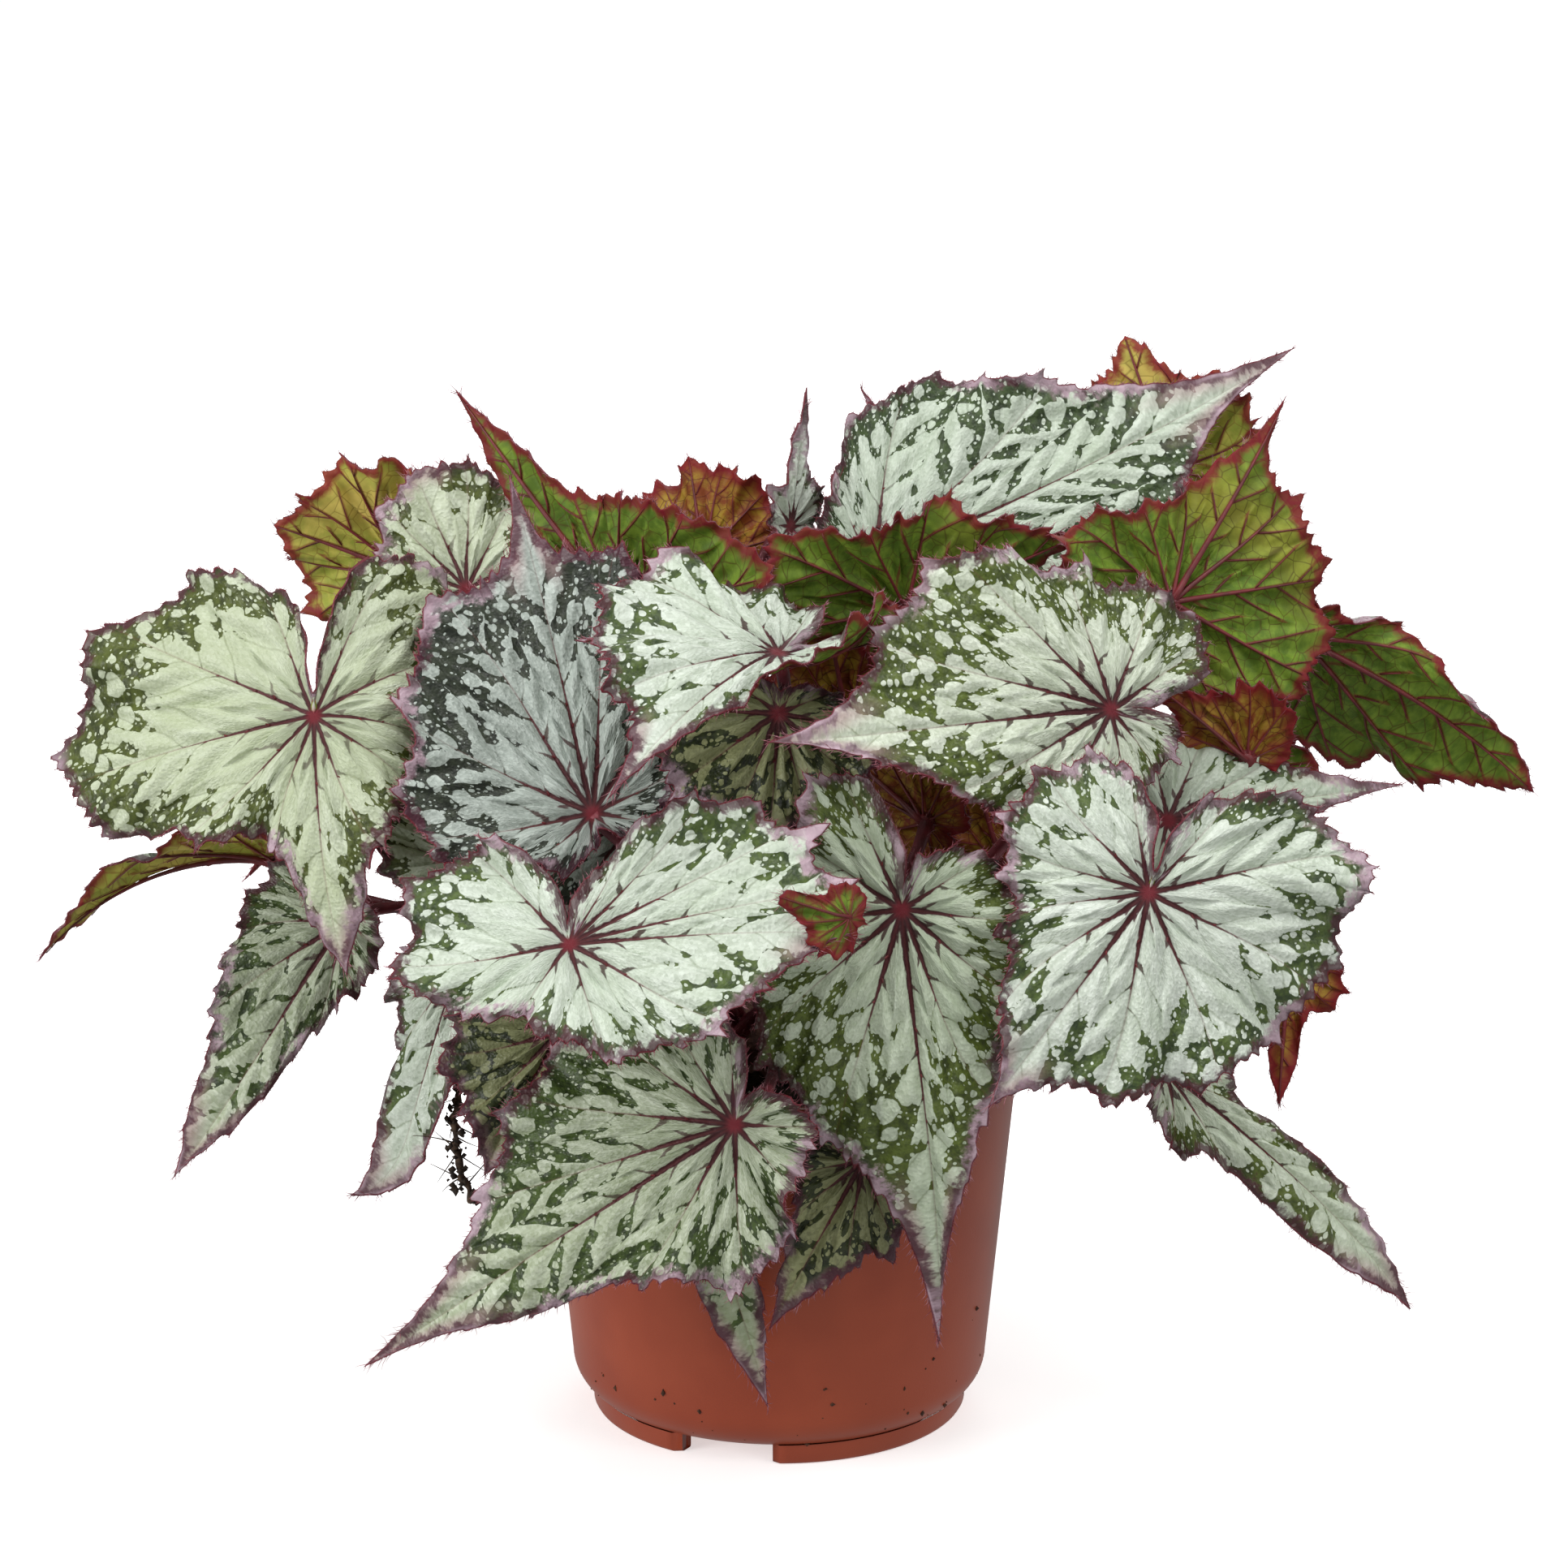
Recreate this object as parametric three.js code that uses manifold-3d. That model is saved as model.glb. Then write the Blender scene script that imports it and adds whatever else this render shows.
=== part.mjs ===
// A rex begonia in its plastic nursery pot. Millimetres, +Z up. The origin is on the pot's axis, on the
// surface that the pot stands on, and the front of the plant is towards -Y.
import * as THREE from "three";
import { mergeVertices } from "three/addons/utils/BufferGeometryUtils.js";
import Module from "manifold-3d";

const wasm = await Module();
wasm.setup();

const GAP = 0.3; // clearance between pieces that touch

// The pot, as moulded: a tapered wall on a rounded base, a lip, and a foot ring in segments.
const POT = {
  height: 112, // foot to lip
  foot: 5, // height of the foot ring
  baseRadius: 49, // flat part of the underside
  corner: 11.5, // rounding between underside and wall
  cornerTurns: [0, 22.5, 45, 67.5, 90],
  rimRadius: 69, // wall, just under the lip
  lipRadius: 71,
  lipHeight: 8,
  wall: 1.8,
  floor: 2.2,
  sides: 36,
};
// The arcs' starts are in degrees from +X.
const FOOT = { inner: 45.5, outer: 54.5, sink: 1, arc: 90, starts: [-92, 28, 148], sides: 9 };
const DRAIN = { holes: 6, radius: 4, ring: 34, depth: 15, sides: 10 };

// The soil's lumps are two crossed waves, a broad one and a fine one.
const SOIL = {
  level: 101,
  bottom: 8,
  skirt: 6, // depth over which its edge falls away from the wall
  rings: [18, 27, 36, 45, 54, 62],
  hole: 14.5,
  holeFloor: 82,
  sides: 24,
};
const LUMPS = { height: 1.6, broad: [0.37, 0.29], fine: [0.9, -0.7], fineShare: 0.4, start: 1.1 };

// The rootstock is a knob at soil level on a short stub that goes down into the soil's hole.
const CROWN = {
  centre: [0, 2, 114],
  radii: [34, 24, 9.5],
  sides: 14,
  rings: 8,
  stubRadius: 12.5,
  stubTaper: 0.8,
  stubBottom: 84,
  stubSides: 10,
};
const STALK = {
  radius: 1.9,
  sides: 5,
  steps: 5,
  endGap: 2.2, // from the blade's middle surface
  spread: 0.8, // how far out on the knob the stalks root
  rise: 34,
  lean: 0.15, // share of the reach by which the rising part leans out
  approach: 26,
  fromCleft: 16,
  lifts: [0, 20, -16, 40], // tried in turn until the route is clear
  asides: [0, 14, -14, 28, -28, 44, -44, 60, -60],
};

// A dry aerial root that hangs over the pot's edge.
const ROOT = {
  radius: 0.9,
  sides: 4,
  steps: 9,
  route: [
    [-20, -6, 112], [-50, -22, 119], [-76, -38, 126], [-88, -52, 118],
    [-91, -55, 104], [-90, -56, 92], [-86, -56, 80],
  ],
};

// The half blade's margin is sampled at these turns, in 180ths of the way from the tip to the cleft.
const MARGIN_TURNS = [1.5, 5, 12, 22, 33, 45, 57, 69, 81, 93, 105, 117, 129, 141, 153, 164, 173];
const VEIN_TURNS = [0, 20, 50, 85, 120, 155, 180]; // where the listed veins meet the margin
const BLADE = {
  thickness: 0.8,
  tooth: 0.045, // share of the radius that a tooth stands out
  drip: 3.2, // degrees over which the drip tip narrows
  cleftRadius: 6,
  cupWidth: 40, // distance over which a blade's cup angle is given
  curlStart: 0.62, // share of the length from which the tip curls
  midribSteps: 40,
  innerRings: [0.66, 0.33],
};
// The margin's waves: two of different pace, calm near the tip, growing towards the margin, and lower where
// the margin is nearer the stalk than reach.
const WAVE = { slow: 5, fast: 10, slowShare: 0.6, fastShare: 0.5, calm: 15, growth: 2.5, reach: 30 };
const EASE = { step: 1.5, most: 60, front: [0, -0.966, 0.26], back: [0, 0.966, -0.26] };
const PHASE_STEP = 2.4; // radians by which the waves of each leaf's margin run ahead of the leaf before

const COLOURS = {
  pot: 0xb05a3c,
  soil: 0x3a2a1e,
  stalk: 0x6e2430,
  blade: 0xb9ccb8,
};

// One row for each leaf, from the middle of the plant outwards. at is where the stalk meets the blade and
// tip is the point of its drip tip. face is the way that the upper side looks at the stalk. body is the
// share of the length without the drip tip. right and left are the lengths of the five veins on each side,
// from the tip's to the cleft's, seen from above with the tip ahead. cleft is where the margin's notch
// lies, in degrees from the tip towards the left. droop, curl and heel bend the blade along its midrib, the
// end of it and the part behind the stalk, and cup bends its right and left halves upwards, all in degrees.
// wave is the height of the margin's waves.
const LEAVES = [
  { name: "crown", at: [-10, 20, 240], tip: [-60, 60, 225], face: [-0.1, 0.1, 0.98], body: 0.8,
    right: [44, 40, 36, 32, 24], left: [46, 40, 36, 30, 22],
    cleft: 180, droop: 20, cup: [-10, -10], wave: 4 },
  { name: "inner_low", at: [-40, -36, 186], tip: [-54, -62, 132], face: [-0.1, -0.95, 0.2], body: 0.85,
    right: [38, 36, 32, 26, 18], left: [40, 38, 32, 26, 18],
    cleft: 180, droop: 15, cup: [-10, -10], wave: 4 },
  { name: "top_under", at: [35, -5, 240], tip: [83, 0, 258], face: [0, 0.9, 0.4], body: 0.95,
    right: [38, 33, 28, 44, 40], left: [20, 14, 12, 14, 20], cleft: 160, droop: 0, cup: [0, 0], wave: 4 },
  { name: "top_right", at: [109, -10, 242], tip: [143, 15, 295], face: [-0.05, 0.95, 0.2], body: 0.72,
    right: [34, 28, 36, 38, 20], left: [48, 48, 48, 34, 20],
    cleft: 180, droop: -10, cup: [-10, -10], wave: 4 },
  { name: "centre_under", at: [-44, -3, 240], tip: [-92, 27, 295], face: [0.1, 0.85, 0.45], body: 0.78,
    right: [26, 22, 16, 14, 12], left: [34, 32, 38, 50, 50], cleft: 180, droop: -10, cup: [0, 0], wave: 4 },
  { name: "left_top", at: [-89, 10, 241], tip: [-104, 25, 273], face: [0, -0.9, 0.4], body: 0.95,
    right: [38, 32, 26, 20, 10], left: [34, 26, 22, 16, 12], cleft: 180, droop: 0, cup: [0, 0], wave: 4 },
  { name: "left_edge", at: [-144, 10, 163], tip: [-213, 0, 134], face: [-0.1, 0.35, 0.93], body: 0.9,
    right: [46, 28, 16, 10, 8], left: [48, 28, 16, 10, 8], cleft: 180, droop: 60, cup: [10, 60], wave: 4 },
  { name: "right_red", at: [146, -10, 135], tip: [143, -20, 96], face: [0.2, 0.9, 0.1], body: 0.85,
    right: [16, 18, 16, 12, 8], left: [16, 16, 14, 12, 8], cleft: 180, droop: 10, cup: [10, 10], wave: 3 },
  { name: "right_under", at: [126, 20, 202], tip: [158, 5, 182], face: [0.2, 0.85, 0.4], body: 0.85,
    right: [26, 20, 16, 12, 10], left: [30, 24, 16, 12, 10], cleft: 180, droop: 10, cup: [10, 10], wave: 3 },
  { name: "far_right", at: [148, 10, 229], tip: [215, -5, 185], face: [0.1, 0.85, 0.5], body: 0.93,
    right: [42, 18, 12, 10, 8], left: [60, 48, 28, 16, 10], cleft: 180, droop: 25, cup: [20, 0], wave: 4 },
  { name: "centre_red", at: [42, -52, 190], tip: [10, -32, 210], face: [0, 0.9, 0.4], body: 0.85,
    right: [30, 26, 24, 20, 14], left: [28, 24, 20, 16, 12], cleft: 180, droop: 10, cup: [0, 0], wave: 4 },
  { name: "left_inner", at: [-87, -45, 176], tip: [-107, -25, 208], face: [0, -0.9, 0.4], body: 0.85,
    right: [30, 26, 22, 16, 10], left: [30, 26, 20, 14, 10], cleft: 180, droop: 10, cup: [0, 0], wave: 4 },
  { name: "right_mid", at: [109, -30, 184], tip: [178, 0, 186], face: [0.1, -0.8, 0.6], body: 0.7,
    right: [20, 26, 26, 20, 12], left: [40, 38, 28, 20, 12],
    cleft: 180, droop: 20, cup: [-10, -10], wave: 3 },
  { name: "right_low", at: [109, -45, 115], tip: [182, -25, 36], face: [0.2, -0.6, 0.7], body: 0.85,
    right: [34, 24, 14, 8, 8], left: [30, 24, 16, 10, 8], cleft: 180, droop: 20, cup: [-50, -30], wave: 3 },
  { name: "left_low", at: [-123, -20, 152], tip: [-172, -35, 80], face: [-0.3, -0.9, 0.2], body: 0.84,
    right: [46, 34, 28, 22, 12], left: [32, 21, 14, 10, 8], cleft: 180, droop: 10, cup: [-10, -10], wave: 3 },
  { name: "left_small", at: [-89, -55, 149], tip: [-120, -50, 80], face: [-0.7, -0.7, 0.1], body: 0.9,
    right: [40, 26, 18, 14, 10], left: [40, 26, 20, 14, 10],
    cleft: 180, droop: 10, curl: -110, cup: [0, 0], wave: 3 },
  { name: "left_dark", at: [-60, -72, 135], tip: [-81, -75, 95], face: [-0.1, -1, 0.3], body: 0.9,
    right: [35, 34, 26, 20, 14], left: [30, 22, 18, 14, 12],
    cleft: 180, droop: 10, cup: [-10, -10], wave: 3 },
  { name: "pot_tip", at: [-30, -84, 118], tip: [-3, -78, 27], face: [0, -1, 0.1], body: 0.8,
    right: [22, 20, 18, 14, 10], left: [22, 20, 18, 14, 10], cleft: 180, droop: 5, cup: [-10, -10], wave: 3 },
  { name: "low_dark", at: [23, -88, 103], tip: [-3, -86, 53], face: [0.1, -1, 0.1], body: 0.8,
    right: [26, 20, 16, 14, 10], left: [32, 27, 20, 16, 12], cleft: 180, droop: 5, cup: [-10, -10], wave: 3 },
  { name: "mid_left", at: [-51, -62, 195], tip: [-75, -14, 279], face: [0, -0.95, 0.3], body: 0.74,
    right: [74, 56, 30, 20, 12], left: [76, 58, 48, 28, 14],
    cleft: 190, droop: -20, heel: 40, cup: [15, 20], wave: 4 },
  { name: "left_big", at: [-128, -45, 218], tip: [-118, -70, 151], face: [-0.25, -0.8, 0.55], body: 0.88,
    right: [38, 49, 81, 71, 50], left: [42, 40, 48, 60, 58],
    cleft: 175, droop: 35, cup: [-10, -72], wave: 5 },
  { name: "centre_dark", at: [0, -66, 224], tip: [-4, -84, 186], face: [0, -0.95, 0.3], body: 0.9,
    right: [34, 36, 34, 18, 10], left: [32, 32, 28, 16, 9], cleft: 180, droop: 10, cup: [0, 0], wave: 3 },
  { name: "mid_top", at: [0, -60, 240], tip: [-45, -104, 210], face: [-0.1, -0.6, 0.8], body: 0.75,
    right: [50, 52, 50, 38, 32], left: [30, 26, 30, 37, 34], cleft: 172, droop: 50, cup: [0, 110], wave: 4 },
  { name: "mid_right", at: [91, -58, 223], tip: [-3, -98, 224], face: [0.2, -0.85, 0.5], body: 0.79,
    right: [71, 61, 44, 40, 40], left: [56, 46, 30, 22, 22],
    cleft: 178, droop: 15, cup: [-10, -20], wave: 4 },
  { name: "front_right", at: [99, -92, 181], tip: [56, -103, 124], face: [0.1, -0.95, 0.35], body: 0.85,
    right: [48, 38, 42, 44, 35], left: [57, 54, 55, 58, 36],
    cleft: 205, droop: 15, cup: [-15, -15], wave: 4 },
  { name: "front_low", at: [-12, -112, 122], tip: [-114, -95, 46], face: [0, -0.9, 0.45], body: 0.72,
    right: [76, 62, 50, 38, 28], left: [50, 44, 24, 22, 14],
    cleft: 222, droop: 15, cup: [-10, -15], wave: 4 },
  { name: "front_drip", at: [33, -92, 176], tip: [44, -90, 51], face: [0, -1, 0.3], body: 0.68,
    right: [68, 54, 38, 36, 42], left: [57, 45, 35, 28, 18],
    cleft: 172, droop: 25, cup: [-15, -15], wave: 4 },
  { name: "front_left", at: [-56, -106, 171], tip: [19, -122, 178], face: [0, -0.68, 0.73], body: 0.88,
    right: [52, 34, 25, 48, 46], left: [74, 68, 55, 34, 16], cleft: 100, droop: 10, cup: [-25, 10], wave: 4 },
  { name: "top_big", at: [27, 20, 247], tip: [154, 75, 301], face: [-0.1, -0.85, 0.5], body: 0.75,
    right: [94, 66, 40, 30, 20], left: [80, 65, 32, 20, 20], cleft: 170, droop: -15, cup: [0, 0], wave: 5 },
  { name: "right_dome", at: [146, 30, 212], tip: [213, 35, 191], face: [0.1, -0.35, 0.93], body: 0.9,
    right: [40, 30, 22, 16, 10], left: [44, 36, 30, 20, 10],
    cleft: 180, droop: 60, cup: [-40, -30], wave: 2 },
  { name: "left_under", at: [-108, 40, 240], tip: [-147, 45, 252], face: [0, 0.9, 0.4], body: 0.95,
    right: [36, 36, 32, 24, 14], left: [36, 38, 34, 26, 18], cleft: 180, droop: 10, cup: [0, 0], wave: 4 },
  { name: "back_e", at: [-105, 35, 180], tip: [-160, 62, 140], face: [-0.6, 0.4, 0.7], body: 0.8,
    right: [44, 38, 34, 30, 22], left: [46, 42, 36, 32, 24],
    cleft: 180, droop: 30, cup: [-15, -15], wave: 4 },
  { name: "back_red", at: [-22, 70, 236], tip: [-27, 85, 264], face: [0, 0.9, 0.4], body: 0.95,
    right: [28, 28, 20, 14, 10], left: [28, 28, 24, 14, 10], cleft: 180, droop: 0, cup: [0, 0], wave: 4 },
  { name: "back_tip", at: [4, 60, 248], tip: [8, 68, 288], face: [0.8, -0.5, 0.3], body: 0.75,
    right: [18, 16, 12, 10, 8], left: [18, 16, 12, 10, 8], cleft: 180, droop: 0, cup: [0, 0], wave: 3 },
  { name: "back_a", at: [-72, 62, 212], tip: [-135, 118, 168], face: [-0.4, 0.5, 0.75], body: 0.8,
    right: [46, 42, 36, 34, 26], left: [48, 46, 42, 38, 28],
    cleft: 185, droop: 30, cup: [-15, -15], wave: 4 },
  { name: "back_d", at: [100, 72, 186], tip: [156, 114, 140], face: [0.5, 0.4, 0.75], body: 0.8,
    right: [46, 42, 36, 32, 22], left: [44, 40, 36, 32, 24],
    cleft: 175, droop: 30, cup: [-15, -15], wave: 4 },
  { name: "back_h", at: [90, 50, 135], tip: [135, 90, 75], face: [0.5, 0.6, 0.6], body: 0.8,
    right: [40, 36, 32, 28, 20], left: [42, 38, 32, 28, 22],
    cleft: 180, droop: 25, cup: [-15, -15], wave: 4 },
  { name: "back_f", at: [-48, 78, 152], tip: [-80, 128, 90], face: [-0.2, 0.8, 0.6], body: 0.8,
    right: [44, 38, 34, 30, 22], left: [46, 42, 36, 32, 24],
    cleft: 180, droop: 25, cup: [-15, -15], wave: 4 },
  { name: "back_g", at: [30, 82, 152], tip: [34, 135, 92], face: [0.1, 0.8, 0.6], body: 0.8,
    right: [44, 38, 34, 30, 22], left: [46, 42, 36, 32, 24],
    cleft: 180, droop: 25, cup: [-15, -15], wave: 4 },
  { name: "back_b", at: [-32, 86, 186], tip: [-50, 124, 126], face: [0, 0.6, 0.8], body: 0.8,
    right: [50, 46, 42, 36, 24], left: [46, 42, 38, 36, 26],
    cleft: 175, droop: 30, cup: [-15, -15], wave: 4 },
  { name: "back_c", at: [60, 86, 220], tip: [82, 135, 158], face: [0.1, 0.6, 0.8], body: 0.8,
    right: [48, 44, 38, 34, 24], left: [50, 44, 40, 36, 26],
    cleft: 185, droop: 30, cup: [-15, -15], wave: 4 },
  { name: "top_back", at: [119, 95, 258], tip: [104, 108, 297], face: [0, 0.9, 0.4], body: 0.95,
    right: [36, 34, 28, 18, 12], left: [30, 32, 28, 18, 12], cleft: 180, droop: 0, cup: [0, 0], wave: 4 },
  { name: "back_curl", at: [40, 70, 262], tip: [24, 74, 288], face: [0, -0.9, 0.4], body: 0.7,
    right: [12, 14, 12, 10, 8], left: [10, 12, 12, 10, 8], cleft: 180, droop: 0, cup: [0, 0], wave: 2 },
];

// ---- helpers ----

const radians = (degrees) => (degrees * Math.PI) / 180;
const clamp = (value) => Math.min(Math.max(value, 0), 1);
const vector = (place) => new THREE.Vector3(...place);

// A closed three.js geometry as a solid.
function solid(geometry) {
  const bare = geometry.clone();
  bare.deleteAttribute("normal");
  bare.deleteAttribute("uv");
  const merged = mergeVertices(bare, 1e-4);
  const vertProperties = new Float32Array(merged.attributes.position.array);
  const triVerts = new Uint32Array(merged.index.array);
  return new wasm.Manifold(new wasm.Mesh({ numProp: 3, vertProperties, triVerts }));
}

// A solid as three.js geometry.
function geometryOf(body) {
  const mesh = body.getMesh();
  const geometry = new THREE.BufferGeometry();
  geometry.setAttribute("position", new THREE.BufferAttribute(new Float32Array(mesh.vertProperties), 3));
  geometry.setIndex(new THREE.BufferAttribute(new Uint32Array(mesh.triVerts), 1));
  return geometry;
}

function named(name, geometry, color, roughness) {
  const mesh = new THREE.Mesh(geometry, new THREE.MeshStandardMaterial({ color, roughness, metalness: 0 }));
  mesh.name = name;
  return mesh;
}

// ---- pot ----

function potWall() {
  const { height, foot, baseRadius, corner, rimRadius, lipRadius, lipHeight, wall, floor } = POT;
  const cornerRadius = baseRadius + corner;
  const profile = [new THREE.Vector2(0, foot)];
  for (const turn of POT.cornerTurns) {
    const across = baseRadius + corner * Math.sin(radians(turn));
    profile.push(new THREE.Vector2(across, foot + corner * (1 - Math.cos(radians(turn)))));
  }
  profile.push(new THREE.Vector2(rimRadius, height - lipHeight));
  profile.push(new THREE.Vector2(lipRadius, height - lipHeight));
  profile.push(new THREE.Vector2(lipRadius, height));
  profile.push(new THREE.Vector2(rimRadius - wall, height));
  profile.push(new THREE.Vector2(cornerRadius - wall, foot + corner));
  profile.push(new THREE.Vector2(baseRadius, foot + floor));
  profile.push(new THREE.Vector2(0, foot + floor));
  return new THREE.LatheGeometry(profile, POT.sides).rotateX(Math.PI / 2);
}

function footSegment(start) {
  const { inner, outer, sink, arc, sides } = FOOT;
  const shape = new THREE.Shape();
  shape.absarc(0, 0, outer, radians(start), radians(start + arc), false);
  shape.absarc(0, 0, inner, radians(start + arc), radians(start), true);
  const depth = POT.foot + sink;
  return new THREE.ExtrudeGeometry(shape, { depth, bevelEnabled: false, curveSegments: sides });
}

function drainHole(number) {
  const turn = ((number + 0.5) * 2 * Math.PI) / DRAIN.holes;
  const hole = new THREE.CylinderGeometry(DRAIN.radius, DRAIN.radius, DRAIN.depth, DRAIN.sides);
  hole.rotateX(Math.PI / 2);
  return hole.translate(DRAIN.ring * Math.cos(turn), DRAIN.ring * Math.sin(turn), POT.foot);
}

function pot() {
  let body = solid(potWall());
  for (const start of FOOT.starts) {
    body = body.add(solid(footSegment(start)));
  }
  for (let number = 0; number < DRAIN.holes; number += 1) {
    body = body.subtract(solid(drainHole(number)));
  }
  return geometryOf(body);
}

// ---- soil, filling the pot, with a plain hole for the rootstock ----

function soilLump(x, y) {
  const { height, broad, fine, fineShare, start } = LUMPS;
  const wide = Math.sin(broad[0] * x + start) * Math.cos(broad[1] * y);
  return height * (wide + fineShare * Math.sin(fine[0] * x + fine[1] * y));
}

function soil() {
  const { level, bottom, skirt, rings, hole, holeFloor, sides } = SOIL;
  const { foot, corner, baseRadius, rimRadius, wall, floor, height } = POT;
  const outer = (z) => {
    const share = (z - foot - corner) / (height - foot - corner);
    return baseRadius + corner + (rimRadius - baseRadius - corner) * share - wall - GAP * 2;
  };
  const shoulder = foot + corner + floor;
  const profile = [new THREE.Vector2(0, bottom), new THREE.Vector2(baseRadius - floor, bottom)];
  profile.push(new THREE.Vector2(outer(shoulder), shoulder));
  profile.push(new THREE.Vector2(outer(level - skirt), level - skirt));
  for (const ring of [...rings].reverse()) {
    profile.push(new THREE.Vector2(ring, level));
  }
  profile.push(new THREE.Vector2(hole, level));
  profile.push(new THREE.Vector2(hole, holeFloor));
  profile.push(new THREE.Vector2(0, holeFloor));
  const geometry = new THREE.LatheGeometry(profile, sides).rotateX(Math.PI / 2);
  const places = geometry.attributes.position;
  for (let i = 0; i < places.count; i += 1) {
    if (Math.abs(places.getZ(i) - level) < 1e-3) {
      places.setZ(i, level + soilLump(places.getX(i), places.getY(i)));
    }
  }
  return geometryOf(solid(geometry));
}

// ---- leaf blades ----

// How far the midrib's line has turned, at a share of the leaf's length. Behind the stalk the share is
// negative.
function heading(share, leaf) {
  if (share < 0) {
    return 2 * radians(leaf.heel ?? 0) * share;
  }
  const end = clamp((share - BLADE.curlStart) / (1 - BLADE.curlStart));
  return -radians(leaf.droop) * share - radians(leaf.curl ?? 0) * end * end;
}

// The midrib's place at a share of the length, as [along, up] in lengths.
function midrib(share, leaf) {
  const steps = Math.max(2, Math.ceil(Math.abs(share) * BLADE.midribSteps));
  let along = 0;
  let up = 0;
  for (let step = 0; step < steps; step += 1) {
    const turn = heading((share * (step + 0.5)) / steps, leaf);
    along += (Math.cos(turn) * share) / steps;
    up += (Math.sin(turn) * share) / steps;
  }
  return [along, up];
}

// The blade's own axes: ahead to the tip, up from its face and to its left, and its length along the midrib.
function bladeAxes(leaf) {
  const [along, up] = midrib(1, leaf);
  const chord = Math.hypot(along, up);
  const reach = vector(leaf.tip).sub(vector(leaf.at));
  const length = reach.length() / chord;
  const ahead = reach.normalize();
  const face = vector(leaf.face);
  face.addScaledVector(ahead, -face.dot(ahead)).normalize();
  const left = new THREE.Vector3().crossVectors(face, ahead);
  return { ahead, face, left, length, cos: along / chord, sin: up / chord };
}

// Distance from the stalk to the margin at a turn from 0, the tip, to 180, the cleft, through the ends of
// the veins.
function marginRadius(turn, body, veins) {
  const ends = [body, ...veins, BLADE.cleftRadius];
  const last = ends.length - 2;
  let i = 0;
  while (i < last && turn >= VEIN_TURNS[i + 1]) {
    i += 1;
  }
  const t = (turn - VEIN_TURNS[i]) / (VEIN_TURNS[i + 1] - VEIN_TURNS[i]);
  const rise = ends[i + 1] - ends[i];
  const leaving = i === 0 ? 0 : (ends[i + 1] - ends[i - 1]) / 2;
  const arriving = i === last ? 2 * rise : (ends[i + 2] - ends[i]) / 2;
  const smooth = t * t * (3 - 2 * t);
  const start = t * (1 - t) * (1 - t) * leaving;
  return Math.max(3, ends[i] + rise * smooth + start - t * t * (1 - t) * arriving);
}

// How far the margin's waves lift the blade at an angle in degrees and a share of the distance from the
// stalk to the margin.
function waveHeight(angle, share, reach, leaf) {
  const slow = WAVE.slowShare * Math.cos(WAVE.slow * radians(angle) + leaf.phase);
  const fast = WAVE.fastShare * Math.cos(WAVE.fast * radians(angle) + 2 * leaf.phase);
  const height = leaf.wave * (slow + fast) * clamp(Math.abs(angle) / WAVE.calm) * clamp(reach / WAVE.reach);
  return height * share ** WAVE.growth;
}

// Place on the blade's middle surface at an angle in degrees, left of the tip positive, and a share of the
// radius.
function bladePoint(angle, share, tooth, leaf, axes) {
  const span = angle >= 0 ? leaf.cleft : 360 - leaf.cleft;
  const body = leaf.body * axes.length;
  const turn = (Math.abs(angle) / span) * 180;
  const drip = (axes.length - body) * Math.exp(-Math.abs(angle) / BLADE.drip);
  const reach = marginRadius(turn, body, angle >= 0 ? leaf.left : leaf.right) * tooth + drip;
  const radius = reach * share;
  const x = radius * Math.cos(radians(angle));
  const y = radius * Math.sin(radians(angle));
  const wave = waveHeight(angle, share, reach, leaf);
  const cup = leaf.cup[y >= 0 ? 1 : 0] || 0.01;
  const bend = radians(cup) / BLADE.cupWidth;
  const lean = bend * Math.abs(y);
  const across = Math.sin(lean) / bend - wave * Math.sin(lean);
  const above = (1 - Math.cos(lean)) / bend + wave * Math.cos(lean);
  const [along, up] = midrib(x / axes.length, leaf);
  const turned = heading(x / axes.length, leaf);
  const flatAlong = along * axes.length - above * Math.sin(turned);
  const flatUp = up * axes.length + above * Math.cos(turned);
  const point = vector(leaf.at).addScaledVector(axes.ahead, flatAlong * axes.cos + flatUp * axes.sin);
  point.addScaledVector(axes.face, flatUp * axes.cos - flatAlong * axes.sin);
  return point.addScaledVector(axes.left, Math.sign(y) * across);
}

// From the cleft, round by the tip: every ring of the blade then has a point in the notch.
function marginAngles(leaf) {
  const slim = MARGIN_TURNS[2]; // nearer the tip than this the turns are degrees
  const scaled = (turn, span) => (turn < slim ? turn : (turn * span) / 180);
  const left = MARGIN_TURNS.map((turn) => scaled(turn, leaf.cleft));
  const right = MARGIN_TURNS.map((turn) => -scaled(turn, 360 - leaf.cleft));
  return [leaf.cleft, ...right.reverse(), 0, ...left];
}

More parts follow.
